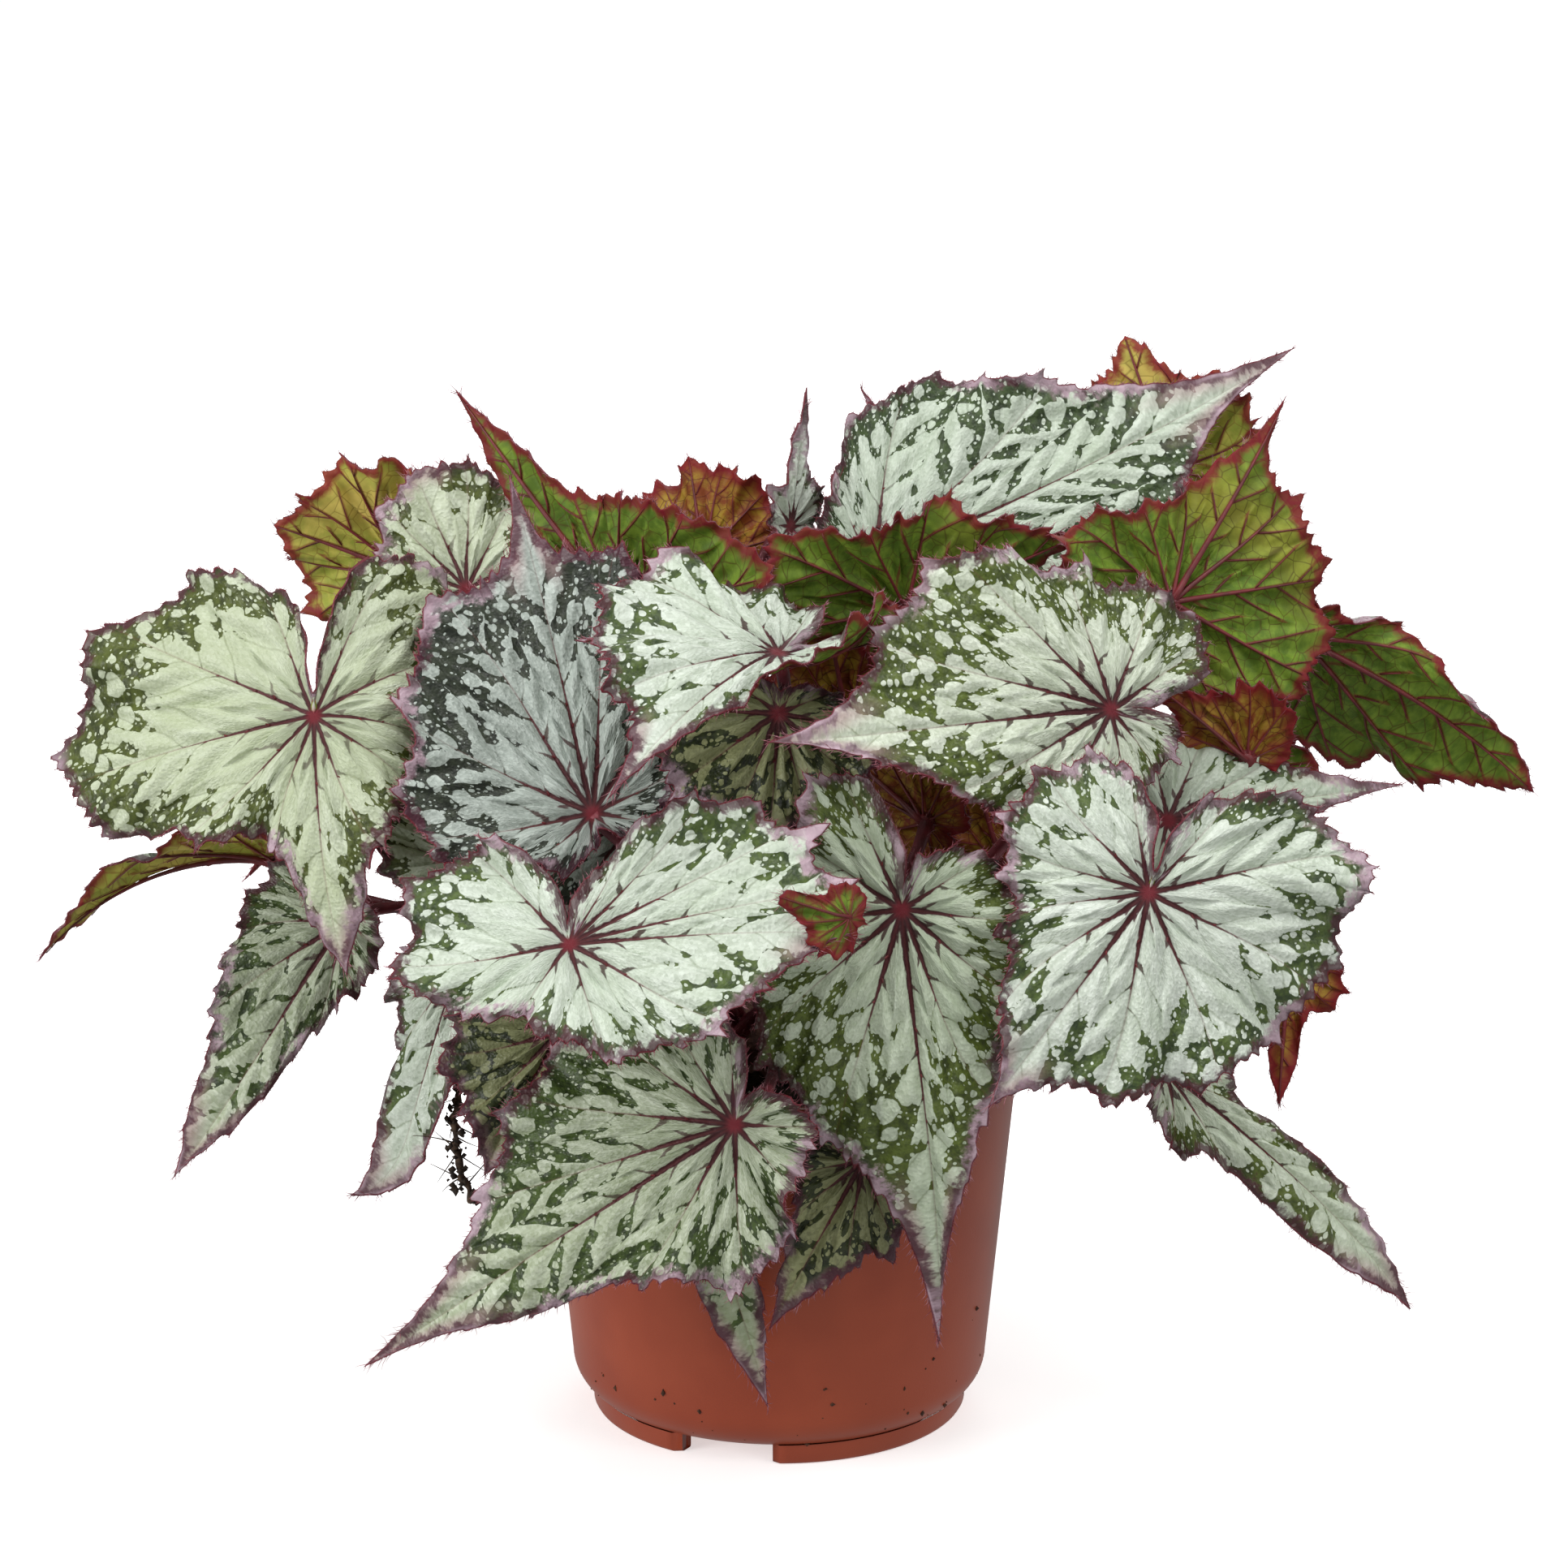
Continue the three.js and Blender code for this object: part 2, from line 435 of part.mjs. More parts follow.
// Middle surface: the toothed margin, two inner rings of half and a quarter as many points, and the stalk's
// place.
function bladeSheet(leaf) {
  const axes = bladeAxes(leaf);
  const angles = marginAngles(leaf);
  const tooth = (i) => (Math.abs(angles[i]) < MARGIN_TURNS[2] ? 1 : 1 + BLADE.tooth * (i % 2 === 0 ? 1 : -1));
  const points = angles.map((angle, i) => bladePoint(angle, 1, tooth(i), leaf, axes));
  const triangles = [];
  let outer = angles.map((angle, i) => i);
  let step = 1;
  for (const share of BLADE.innerRings) {
    step *= 2;
    const start = points.length;
    for (let i = 0; i < angles.length; i += step) {
      points.push(bladePoint(angles[i], share, 1, leaf, axes));
    }
    const inner = outer.filter((value, i) => i % 2 === 0).map((value, i) => start + i);
    inner.forEach((corner, i) => {
      const next = inner[(i + 1) % inner.length];
      const after = outer[(2 * i + 2) % outer.length];
      triangles.push([corner, outer[2 * i], outer[2 * i + 1]]);
      triangles.push([corner, outer[2 * i + 1], next]);
      triangles.push([next, outer[2 * i + 1], after]);
    });
    outer = inner;
  }
  const centre = points.length;
  points.push(bladePoint(0, 0, 1, leaf, axes));
  outer.forEach((corner, i) => triangles.push([centre, corner, outer[(i + 1) % outer.length]]));
  return { points, triangles, marginCount: angles.length, centre };
}

function sheetNormals({ points, triangles }) {
  const normals = points.map(() => new THREE.Vector3());
  for (const [a, b, c] of triangles) {
    const edge = points[b].clone().sub(points[a]);
    const normal = edge.cross(points[c].clone().sub(points[a]));
    for (const corner of [a, b, c]) {
      normals[corner].add(normal);
    }
  }
  return normals.map((normal) => normal.normalize());
}

// The sheet given a thickness, split into the same triangles on both faces, moved by a shift.
function blade(sheet, thickness, shift) {
  const { points, triangles, marginCount } = sheet;
  const normals = sheetNormals(sheet);
  const places = [];
  for (const side of [0.5, -0.5]) {
    points.forEach((point, i) => {
      const place = point.clone().add(shift).addScaledVector(normals[i], side * thickness);
      places.push(place.x, place.y, place.z);
    });
  }
  const under = points.length;
  const index = [];
  for (const [a, b, c] of triangles) {
    index.push(a, b, c, under + a, under + c, under + b);
  }
  for (let i = 0; i < marginCount; i += 1) {
    const next = (i + 1) % marginCount;
    index.push(i, under + i, under + next, i, under + next, next);
  }
  const geometry = new THREE.BufferGeometry();
  geometry.setAttribute("position", new THREE.Float32BufferAttribute(places, 3));
  geometry.setIndex(index);
  return geometry;
}

const touches = (one, other) => one.intersect(other).volume() > 1e-4;

const boxesMeet = (a, b) => [0, 1, 2].every((i) => a.min[i] <= b.max[i] && b.min[i] <= a.max[i]);

const clearOf = (body, others) => {
  const box = body.boundingBox();
  return !others.some((other) => boxesMeet(box, other.boundingBox()) && touches(body, other));
};

// Blades lie over one another like shingles: each is eased outwards, along the line of sight from the
// front, until it is clear of the blades inside it.
function placedBlades(obstacles) {
  const placed = [];
  LEAVES.forEach((row, number) => {
    const leaf = { ...row, phase: PHASE_STEP * number };
    const sheet = bladeSheet(leaf);
    const direction = vector(leaf.at[1] < 0 ? EASE.front : EASE.back);
    const shift = new THREE.Vector3();
    const others = [...obstacles, ...placed.map((one) => one.body)];
    while (shift.length() < EASE.most) {
      const fat = solid(blade(sheet, BLADE.thickness + 2 * GAP, shift));
      if (clearOf(fat, others)) {
        break;
      }
      shift.addScaledVector(direction, EASE.step);
    }
    const geometry = blade(sheet, BLADE.thickness, shift);
    placed.push({ leaf, sheet, shift, geometry, body: solid(geometry) });
  });
  return placed;
}

// ---- rootstock, stalks and the dry root: they grew as one piece ----

function tube(path, radius, sides, steps) {
  const ring = new THREE.Shape();
  for (let i = 0; i < sides; i += 1) {
    const turn = (i * 2 * Math.PI) / sides;
    const move = i === 0 ? "moveTo" : "lineTo";
    ring[move](radius * Math.cos(turn), radius * Math.sin(turn));
  }
  return new THREE.ExtrudeGeometry(ring, { steps, bevelEnabled: false, extrudePath: path });
}

function crown() {
  const { centre, radii, sides, rings, stubRadius, stubTaper, stubBottom, stubSides } = CROWN;
  const knob = new THREE.SphereGeometry(1, sides, rings).rotateX(Math.PI / 2);
  knob.scale(...radii).translate(...centre);
  const length = centre[2] - stubBottom;
  const stub = new THREE.CylinderGeometry(stubRadius, stubRadius * stubTaper, length, stubSides);
  stub.rotateX(Math.PI / 2);
  stub.translate(0, 0, stubBottom + length / 2);
  return solid(knob).add(solid(stub));
}

// A stalk's curve from inside the crown to just under its blade. aside bends it to one side, lift raises
// its middle.
function stalkPath({ leaf, sheet, shift }, aside, lift) {
  const axes = bladeAxes(leaf);
  const normal = sheetNormals(sheet)[sheet.centre];
  const end = sheet.points[sheet.centre].clone().add(shift);
  end.addScaledVector(normal, -STALK.endGap);
  const outward = new THREE.Vector3(end.x, end.y, 0);
  const span = outward.length();
  outward.normalize();
  const sideways = new THREE.Vector3(-outward.y, outward.x, 0);
  const [wide, deep] = CROWN.radii;
  const start = new THREE.Vector3(outward.x * wide, outward.y * deep, 0).multiplyScalar(STALK.spread);
  start.add(vector(CROWN.centre));
  const rising = start.clone().addScaledVector(outward, span * STALK.lean).addScaledVector(sideways, aside);
  rising.z += STALK.rise + lift;
  const nearing = end.clone().addScaledVector(normal, -STALK.approach);
  nearing.addScaledVector(axes.ahead, -STALK.fromCleft).addScaledVector(sideways, aside / 2);
  return new THREE.CubicBezierCurve3(start, rising, nearing, end);
}

// The first of the stalk's routes that is clear of every blade.
function stalk(one, obstacles) {
  for (const lift of STALK.lifts) {
    for (const aside of STALK.asides) {
      const path = stalkPath(one, aside, lift);
      const fat = solid(tube(path, STALK.radius + GAP, STALK.sides, STALK.steps));
      if (clearOf(fat, obstacles)) {
        return solid(tube(path, STALK.radius, STALK.sides, STALK.steps));
      }
    }
  }
  throw new Error(`no clear way for the stalk of ${one.leaf.name}`);
}

function dryRoot() {
  const path = new THREE.CatmullRomCurve3(ROOT.route.map(vector));
  return solid(tube(path, ROOT.radius, ROOT.sides, ROOT.steps));
}

function rootstock(blades, obstacles) {
  const blocked = [...obstacles, ...blades.map((one) => one.body)];
  let body = crown().add(dryRoot());
  for (const one of blades) {
    body = body.add(stalk(one, blocked));
  }
  return geometryOf(body);
}

// ---- the whole plant ----

const group = new THREE.Group();
const potGeometry = pot();
const soilGeometry = soil();
const potAndSoil = [solid(potGeometry), solid(soilGeometry)];
const blades = placedBlades(potAndSoil);
group.add(named("pot", potGeometry, COLOURS.pot, 0.5));
group.add(named("soil", soilGeometry, COLOURS.soil, 0.95));
group.add(named("rootstock_and_stalks", rootstock(blades, potAndSoil), COLOURS.stalk, 0.6));
for (const { leaf, geometry } of blades) {
  group.add(named(`leaf_${leaf.name}`, geometry, COLOURS.blade, 0.55));
}

export default group;
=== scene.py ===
"""Looks of a potted rex begonia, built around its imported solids, in metres with +Z up.

The solids say where everything is. Each leaf is grown again here from its own form, finer: toothed and
hairy margin, quilted face, sunken veins above and raised veins below. The stalks follow the routes of the
solid ones, and the pot, the soil and the dry root are made again with their real roundings and crumbs.
"""
import logging
import math
from dataclasses import dataclass
from enum import Enum
from functools import partial
from typing import Any

import bpy
import numpy as np
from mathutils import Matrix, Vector
from mathutils.kdtree import KDTree


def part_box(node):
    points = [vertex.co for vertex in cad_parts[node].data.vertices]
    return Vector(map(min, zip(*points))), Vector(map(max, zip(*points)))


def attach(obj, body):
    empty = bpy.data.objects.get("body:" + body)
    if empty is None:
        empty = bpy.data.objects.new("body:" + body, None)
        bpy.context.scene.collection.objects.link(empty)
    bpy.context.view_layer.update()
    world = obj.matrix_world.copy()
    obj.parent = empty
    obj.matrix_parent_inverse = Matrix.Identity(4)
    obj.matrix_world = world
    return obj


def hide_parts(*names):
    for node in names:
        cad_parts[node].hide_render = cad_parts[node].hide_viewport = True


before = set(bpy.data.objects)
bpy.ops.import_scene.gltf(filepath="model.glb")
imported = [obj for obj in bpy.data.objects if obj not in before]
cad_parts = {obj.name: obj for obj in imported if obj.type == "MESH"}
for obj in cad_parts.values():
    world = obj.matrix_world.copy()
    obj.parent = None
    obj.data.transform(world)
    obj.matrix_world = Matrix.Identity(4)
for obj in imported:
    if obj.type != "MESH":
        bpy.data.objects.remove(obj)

LOG = logging.getLogger("begonia")
MM = 0.001
BODY = "root"
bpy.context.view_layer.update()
ASKEW = (0.31, 0.17, 0.94)  # a direction that no tube starts in, from which its first side is found
ASKEW_HAIR = (0.37, 0.22, 0.9)
HAIR_TAPER = 0.65  # a hair's radius halfway up, as a share of its root's
TURNED = [0, 3, 2, 1]  # a face's corners the other way round, from the same first one
YOUNG_FOOT = 112.0  # height at which the young leaves' stalks enter the crown, in millimetres
# Which numbers of each kept vector hold at the blade's middle point, where the others are zero.
CENTRE_FIELDS = {"leaf_polar": (1, 0, 0), "leaf_edge": (1, 1, 1), "leaf_vein": (0, 1, 0)}


# ---- small tools ----


def linear(colour: str) -> tuple[float, float, float, float]:
    """Turns an sRGB hex colour to linear light.

    Args:
        colour: Such as "#C6D5C4".

    Returns:
        Red, green, blue and a full alpha.
    """
    channels = [int(colour[i : i + 2], 16) / 255 for i in (1, 3, 5)]
    red, green, blue = (c / 12.92 if c <= 0.04045 else ((c + 0.055) / 1.055) ** 2.4 for c in channels)
    return red, green, blue, 1.0


def new_material(name: str) -> bpy.types.Material:
    """Makes an empty node material.

    Args:
        name: What the real material is and how it was made.

    Returns:
        The material, with no nodes.
    """
    material = bpy.data.materials.new(name)
    material.use_nodes = True
    material.node_tree.nodes.clear()
    return material


def add(material: bpy.types.Material, kind: str, inputs: Any = (), output: int | str = 0,
        **settings: Any) -> Any:
    """Adds one node to a material, with its settings and links.

    Args:
        material: The material that gets the node.
        kind: The node's type name.
        inputs: What feeds each input, a socket or a value, in order or by the input's name or number. None
            leaves an input as it is.
        output: The number or name of the output that is wanted.
        **settings: The node's own settings.

    Returns:
        The output socket, or the node where it has no output.
    """
    tree = material.node_tree
    node = tree.nodes.new(kind)
    for name, value in settings.items():
        setattr(node, name, value)
    pairs = inputs.items() if isinstance(inputs, dict) else enumerate(inputs)
    for where, value in pairs:
        if isinstance(value, bpy.types.NodeSocket):
            tree.links.new(value, node.inputs[where])
        elif value is not None:
            node.inputs[where].default_value = value
    return node.outputs[output] if len(node.outputs) else node


def unit(rows: np.ndarray) -> np.ndarray:
    """Scales each row of a table of vectors to length 1."""
    return rows / np.maximum(np.linalg.norm(rows, axis=-1, keepdims=True), 1e-9)


def run_length(line: np.ndarray) -> np.ndarray:
    """Returns how far along a line of points each of them is."""
    return np.concatenate([[0], np.cumsum(np.linalg.norm(np.diff(line, axis=0), axis=1))])


def read_rows(rows: np.ndarray, keys: np.ndarray, at: np.ndarray | float) -> np.ndarray:
    """Reads a table of x, y and z at the places asked for, between its rows where need be.

    Args:
        rows: The table.
        keys: Where each row stands, rising.
        at: The places asked for.

    Returns:
        Rows of x, y and z.
    """
    return np.stack([np.interp(at, keys, rows[:, k]) for k in range(3)], axis=-1)


def full_turn(steps: int) -> np.ndarray:
    """Returns equal steps round a circle, in radians."""
    return np.arange(steps) * 2 * math.pi / steps


def rings(side: np.ndarray, up: np.ndarray, count: int) -> np.ndarray:
    """Lays a circle of radius 1 in the plane of each pair of vectors.

    Args:
        side: Rows of vectors towards each circle's first point.
        up: Rows of vectors square to them.
        count: How many points a circle has.

    Returns:
        For each row, the circle's points as rows of x, y and z.
    """
    turns = full_turn(count)[:, None]
    return side[:, None] * np.cos(turns) + up[:, None] * np.sin(turns)


def sheet_faces(rows: int, columns: int, closed: bool = True) -> np.ndarray:
    """Numbers the faces of a sheet of points that is laid out in rows.

    Args:
        rows: How many rows of points there are.
        columns: How many points each row has.
        closed: Whether the last column joins the first.

    Returns:
        Rows of four point numbers.
    """
    across = columns if closed else columns - 1
    row, column = np.meshgrid(np.arange(rows - 1), np.arange(across), indexing="ij")
    after = (column + 1) % columns
    low, high = row * columns, (row + 1) * columns
    return np.stack([low + column, low + after, high + after, high + column], axis=-1).reshape(-1, 4)


@dataclass
class MeshStock:
    """Points and faces in millimetres, gathered before they become one mesh."""

    points: list[np.ndarray]
    faces: list[tuple[np.ndarray, int]]
    corners: dict[str, list[np.ndarray]]

    @classmethod
    def empty(cls, *names: str) -> "MeshStock":
        """Starts an empty stock that keeps the named vectors at each face corner."""
        return cls([], [], {name: [] for name in names})

    def add(self, points: np.ndarray, faces: np.ndarray, slot: int, **corners: np.ndarray) -> int:
        """Adds a patch of points and faces.

        Args:
            points: Rows of x, y and z.
            faces: Rows of three or four point numbers, counted from the patch's own first point.
            slot: The material slot's number.
            **corners: For each named vector, one row for each face corner. A name left out is zero.

        Returns:
            The number of the patch's first point in the stock.
        """
        start = sum(len(p) for p in self.points)
        self.points.append(points)
        self.add_faces(start, faces, slot, **corners)
        return start

    def add_faces(self, start: int, faces: np.ndarray, slot: int, **corners: np.ndarray) -> None:
        """Adds faces between points that are in the stock already.

        Args:
            start: The number of the first point of the patch that they belong to.
            faces: Rows of three or four point numbers, counted from that point.
            slot: The material slot's number.
            **corners: For each named vector, one row for each face corner. A name left out is zero.
        """
        self.faces.append((faces + start, slot))
        for name, rows in self.corners.items():
            rows.append(corners.get(name, np.zeros((faces.size, 3))).reshape(-1, 3))

    def piece(self, name: str, materials: list[bpy.types.Material]) -> bpy.types.Object:
        """Makes the mesh object, smooth-shaded, in metres.

        Args:
            name: The piece's name.
            materials: One for each slot.

        Returns:
            The new object, linked to the scene.
        """
        mesh = bpy.data.meshes.new(name)
        points = np.concatenate(self.points) * MM
        sizes = np.concatenate([np.full(len(f), f.shape[1]) for f, _ in self.faces])
        slots = np.concatenate([np.full(len(f), slot) for f, slot in self.faces])
        order = np.concatenate([f.reshape(-1) for f, _ in self.faces])
        starts = np.concatenate([[0], np.cumsum(sizes)[:-1]])
        mesh.vertices.add(len(points))
        mesh.loops.add(len(order))
        mesh.polygons.add(len(sizes))
        mesh.vertices.foreach_set("co", points.astype(np.float32).reshape(-1))
        mesh.loops.foreach_set("vertex_index", order.astype(np.int32))
        mesh.polygons.foreach_set("loop_start", starts.astype(np.int32))
        mesh.polygons.foreach_set("material_index", slots.astype(np.int32))
        for label, rows in self.corners.items():
            vectors = mesh.attributes.new(label, "FLOAT_VECTOR", "CORNER")
            vectors.data.foreach_set("vector", np.concatenate(rows).astype(np.float32).reshape(-1))
        mesh.update(calc_edges=True)
        mesh.shade_smooth()
        for material in materials:
            mesh.materials.append(material)
        piece = bpy.data.objects.new(name, mesh)
        bpy.context.scene.collection.objects.link(piece)
        return piece


def add_tube(stock: MeshStock, line: np.ndarray, radii: np.ndarray, sides: int, slot: int) -> None:
    """Adds a round tube whose ends close on their middle points.

    Args:
        stock: What gets the tube.
        line: Rows of x, y and z along the middle.
        radii: The radius at each row.
        sides: How many sides it has round it.
        slot: The material slot's number.
    """
    ahead = unit(np.gradient(line, axis=0))
    side = np.zeros_like(line)
    way = np.cross(ahead[0], ASKEW)
    for i, direction in enumerate(ahead):
        way = way - direction * np.dot(way, direction)
        way = way / max(np.linalg.norm(way), 1e-9)
        side[i] = way
    ring = rings(side, np.cross(ahead, side), sides) * radii[:, None, None]
    wall = (line[:, None] + ring).reshape(-1, 3)
    start = stock.add(np.concatenate([wall, line[:1], line[-1:]]), sheet_faces(len(line), sides), slot)
    turn = np.arange(sides)
    after = (turn + 1) % sides
    last = len(wall)
    ends = ((after, turn, last), (last - sides + turn, last - sides + after, last + 1))
    caps = [np.stack([one, other, np.full(sides, middle)], axis=-1) for one, other, middle in ends]
    stock.add_faces(start, np.concatenate(caps), slot)


def add_hairs(stock: MeshStock, roots: np.ndarray, ways: np.ndarray, lengths: np.ndarray, radius: float,
              bends: np.ndarray, slot: int) -> None:
    """Adds three-sided hairs that taper to a point.

    Args:
        stock: What gets the hairs.
        roots: Where each hair stands.
        ways: Which way each hair points, of length 1.
        lengths: How long each hair is, in millimetres.
        radius: The hairs' radius at the root.
        bends: A vector for each hair by which its upper half leans over, in lengths.
        slot: The material slot's number.
    """
    side = unit(np.cross(ways, ASKEW_HAIR) + 1e-6)
    ring = rings(side, np.cross(ways, side), 3) * radius
    reach = lengths[:, None]
    middle = roots + ways * reach * 0.5
    tip = roots + (ways + bends * 0.5) * reach
    half = middle[:, None] + ring * HAIR_TAPER
    points = np.concatenate([roots[:, None] + ring, half, tip[:, None]], axis=1)
    first = (np.arange(len(roots)) * points.shape[1])[:, None, None]
    turn = np.arange(3)
    after = (turn + 1) % 3
    walls = np.stack([turn, after, after + 3, turn + 3], axis=-1)[None] + first
    tips = np.stack([turn + 3, after + 3, np.full(3, 6)], axis=-1)[None] + first
    base = np.array([[2, 1, 0]])[None] + first
    start = stock.add(points.reshape(-1, 3), walls.reshape(-1, 4), slot)
    for faces in (tips, base):
        stock.add_faces(start, faces.reshape(-1, 3), slot)


def finish_piece(piece: bpy.types.Object, slot: str, *nodes: str) -> None:
    """Puts a piece on the part's body, hides the solids that it replaces and logs its faces.

    Args:
        piece: The finished piece.
        slot: The record's material slot for the piece; not used.
        *nodes: The solids that it replaces.
    """
    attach(piece, BODY)
    if nodes:
        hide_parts(*nodes)
    LOG.info("%s: %d faces", piece.name, len(piece.data.polygons))


# ---- the leaves' forms ----


class Look(Enum):
    """How much silver a leaf's upper face has; the dusk, olive and shade looks also darken it as painted
    shade.
    """

    SILVER = "silver"
    GREEN = "green"
    SPRING = "spring"
    BANDED = "banded"
    DUSK_SHADE = "dusk"
    OLIVE_SHADE = "olive"
    SHADE = "shade"


class Under(Enum):
    """How far a leaf's underside has turned from green; the golden one is also brighter, as painted light
    shining through from behind.
    """

    GREEN = "under green"
    GOLDEN_BACKLIT = "under golden"
    RUSTY = "under rusty"


@dataclass(frozen=True)
class LeafForm:
    """One leaf's own shape, in millimetres and degrees.

    at is where the stalk meets the blade, tip the point of its drip tip and face the way that the upper
    side looks. body is the share of the length without the drip tip. right and left are the lengths of the
    five veins on each side, and cleft is where the notch lies, from the tip towards the left. droop, curl
    and heel bend the midrib, cup bends the two halves, and wave is how high the margin's waves are. look and
    under choose the finishes of the two faces.
    """

    name: str
    at: tuple[float, float, float]
    tip: tuple[float, float, float]
    face: tuple[float, float, float]
    body: float
    right: tuple[float, ...]
    left: tuple[float, ...]
    cleft: float
    droop: float
    cup: tuple[float, float]
    wave: float
    curl: float = 0.0
    heel: float = 0.0
    look: Look = Look.SILVER
    under: Under = Under.GREEN
    folded: bool = False  # whether it is only the folded-back tip of another leaf, without a stalk


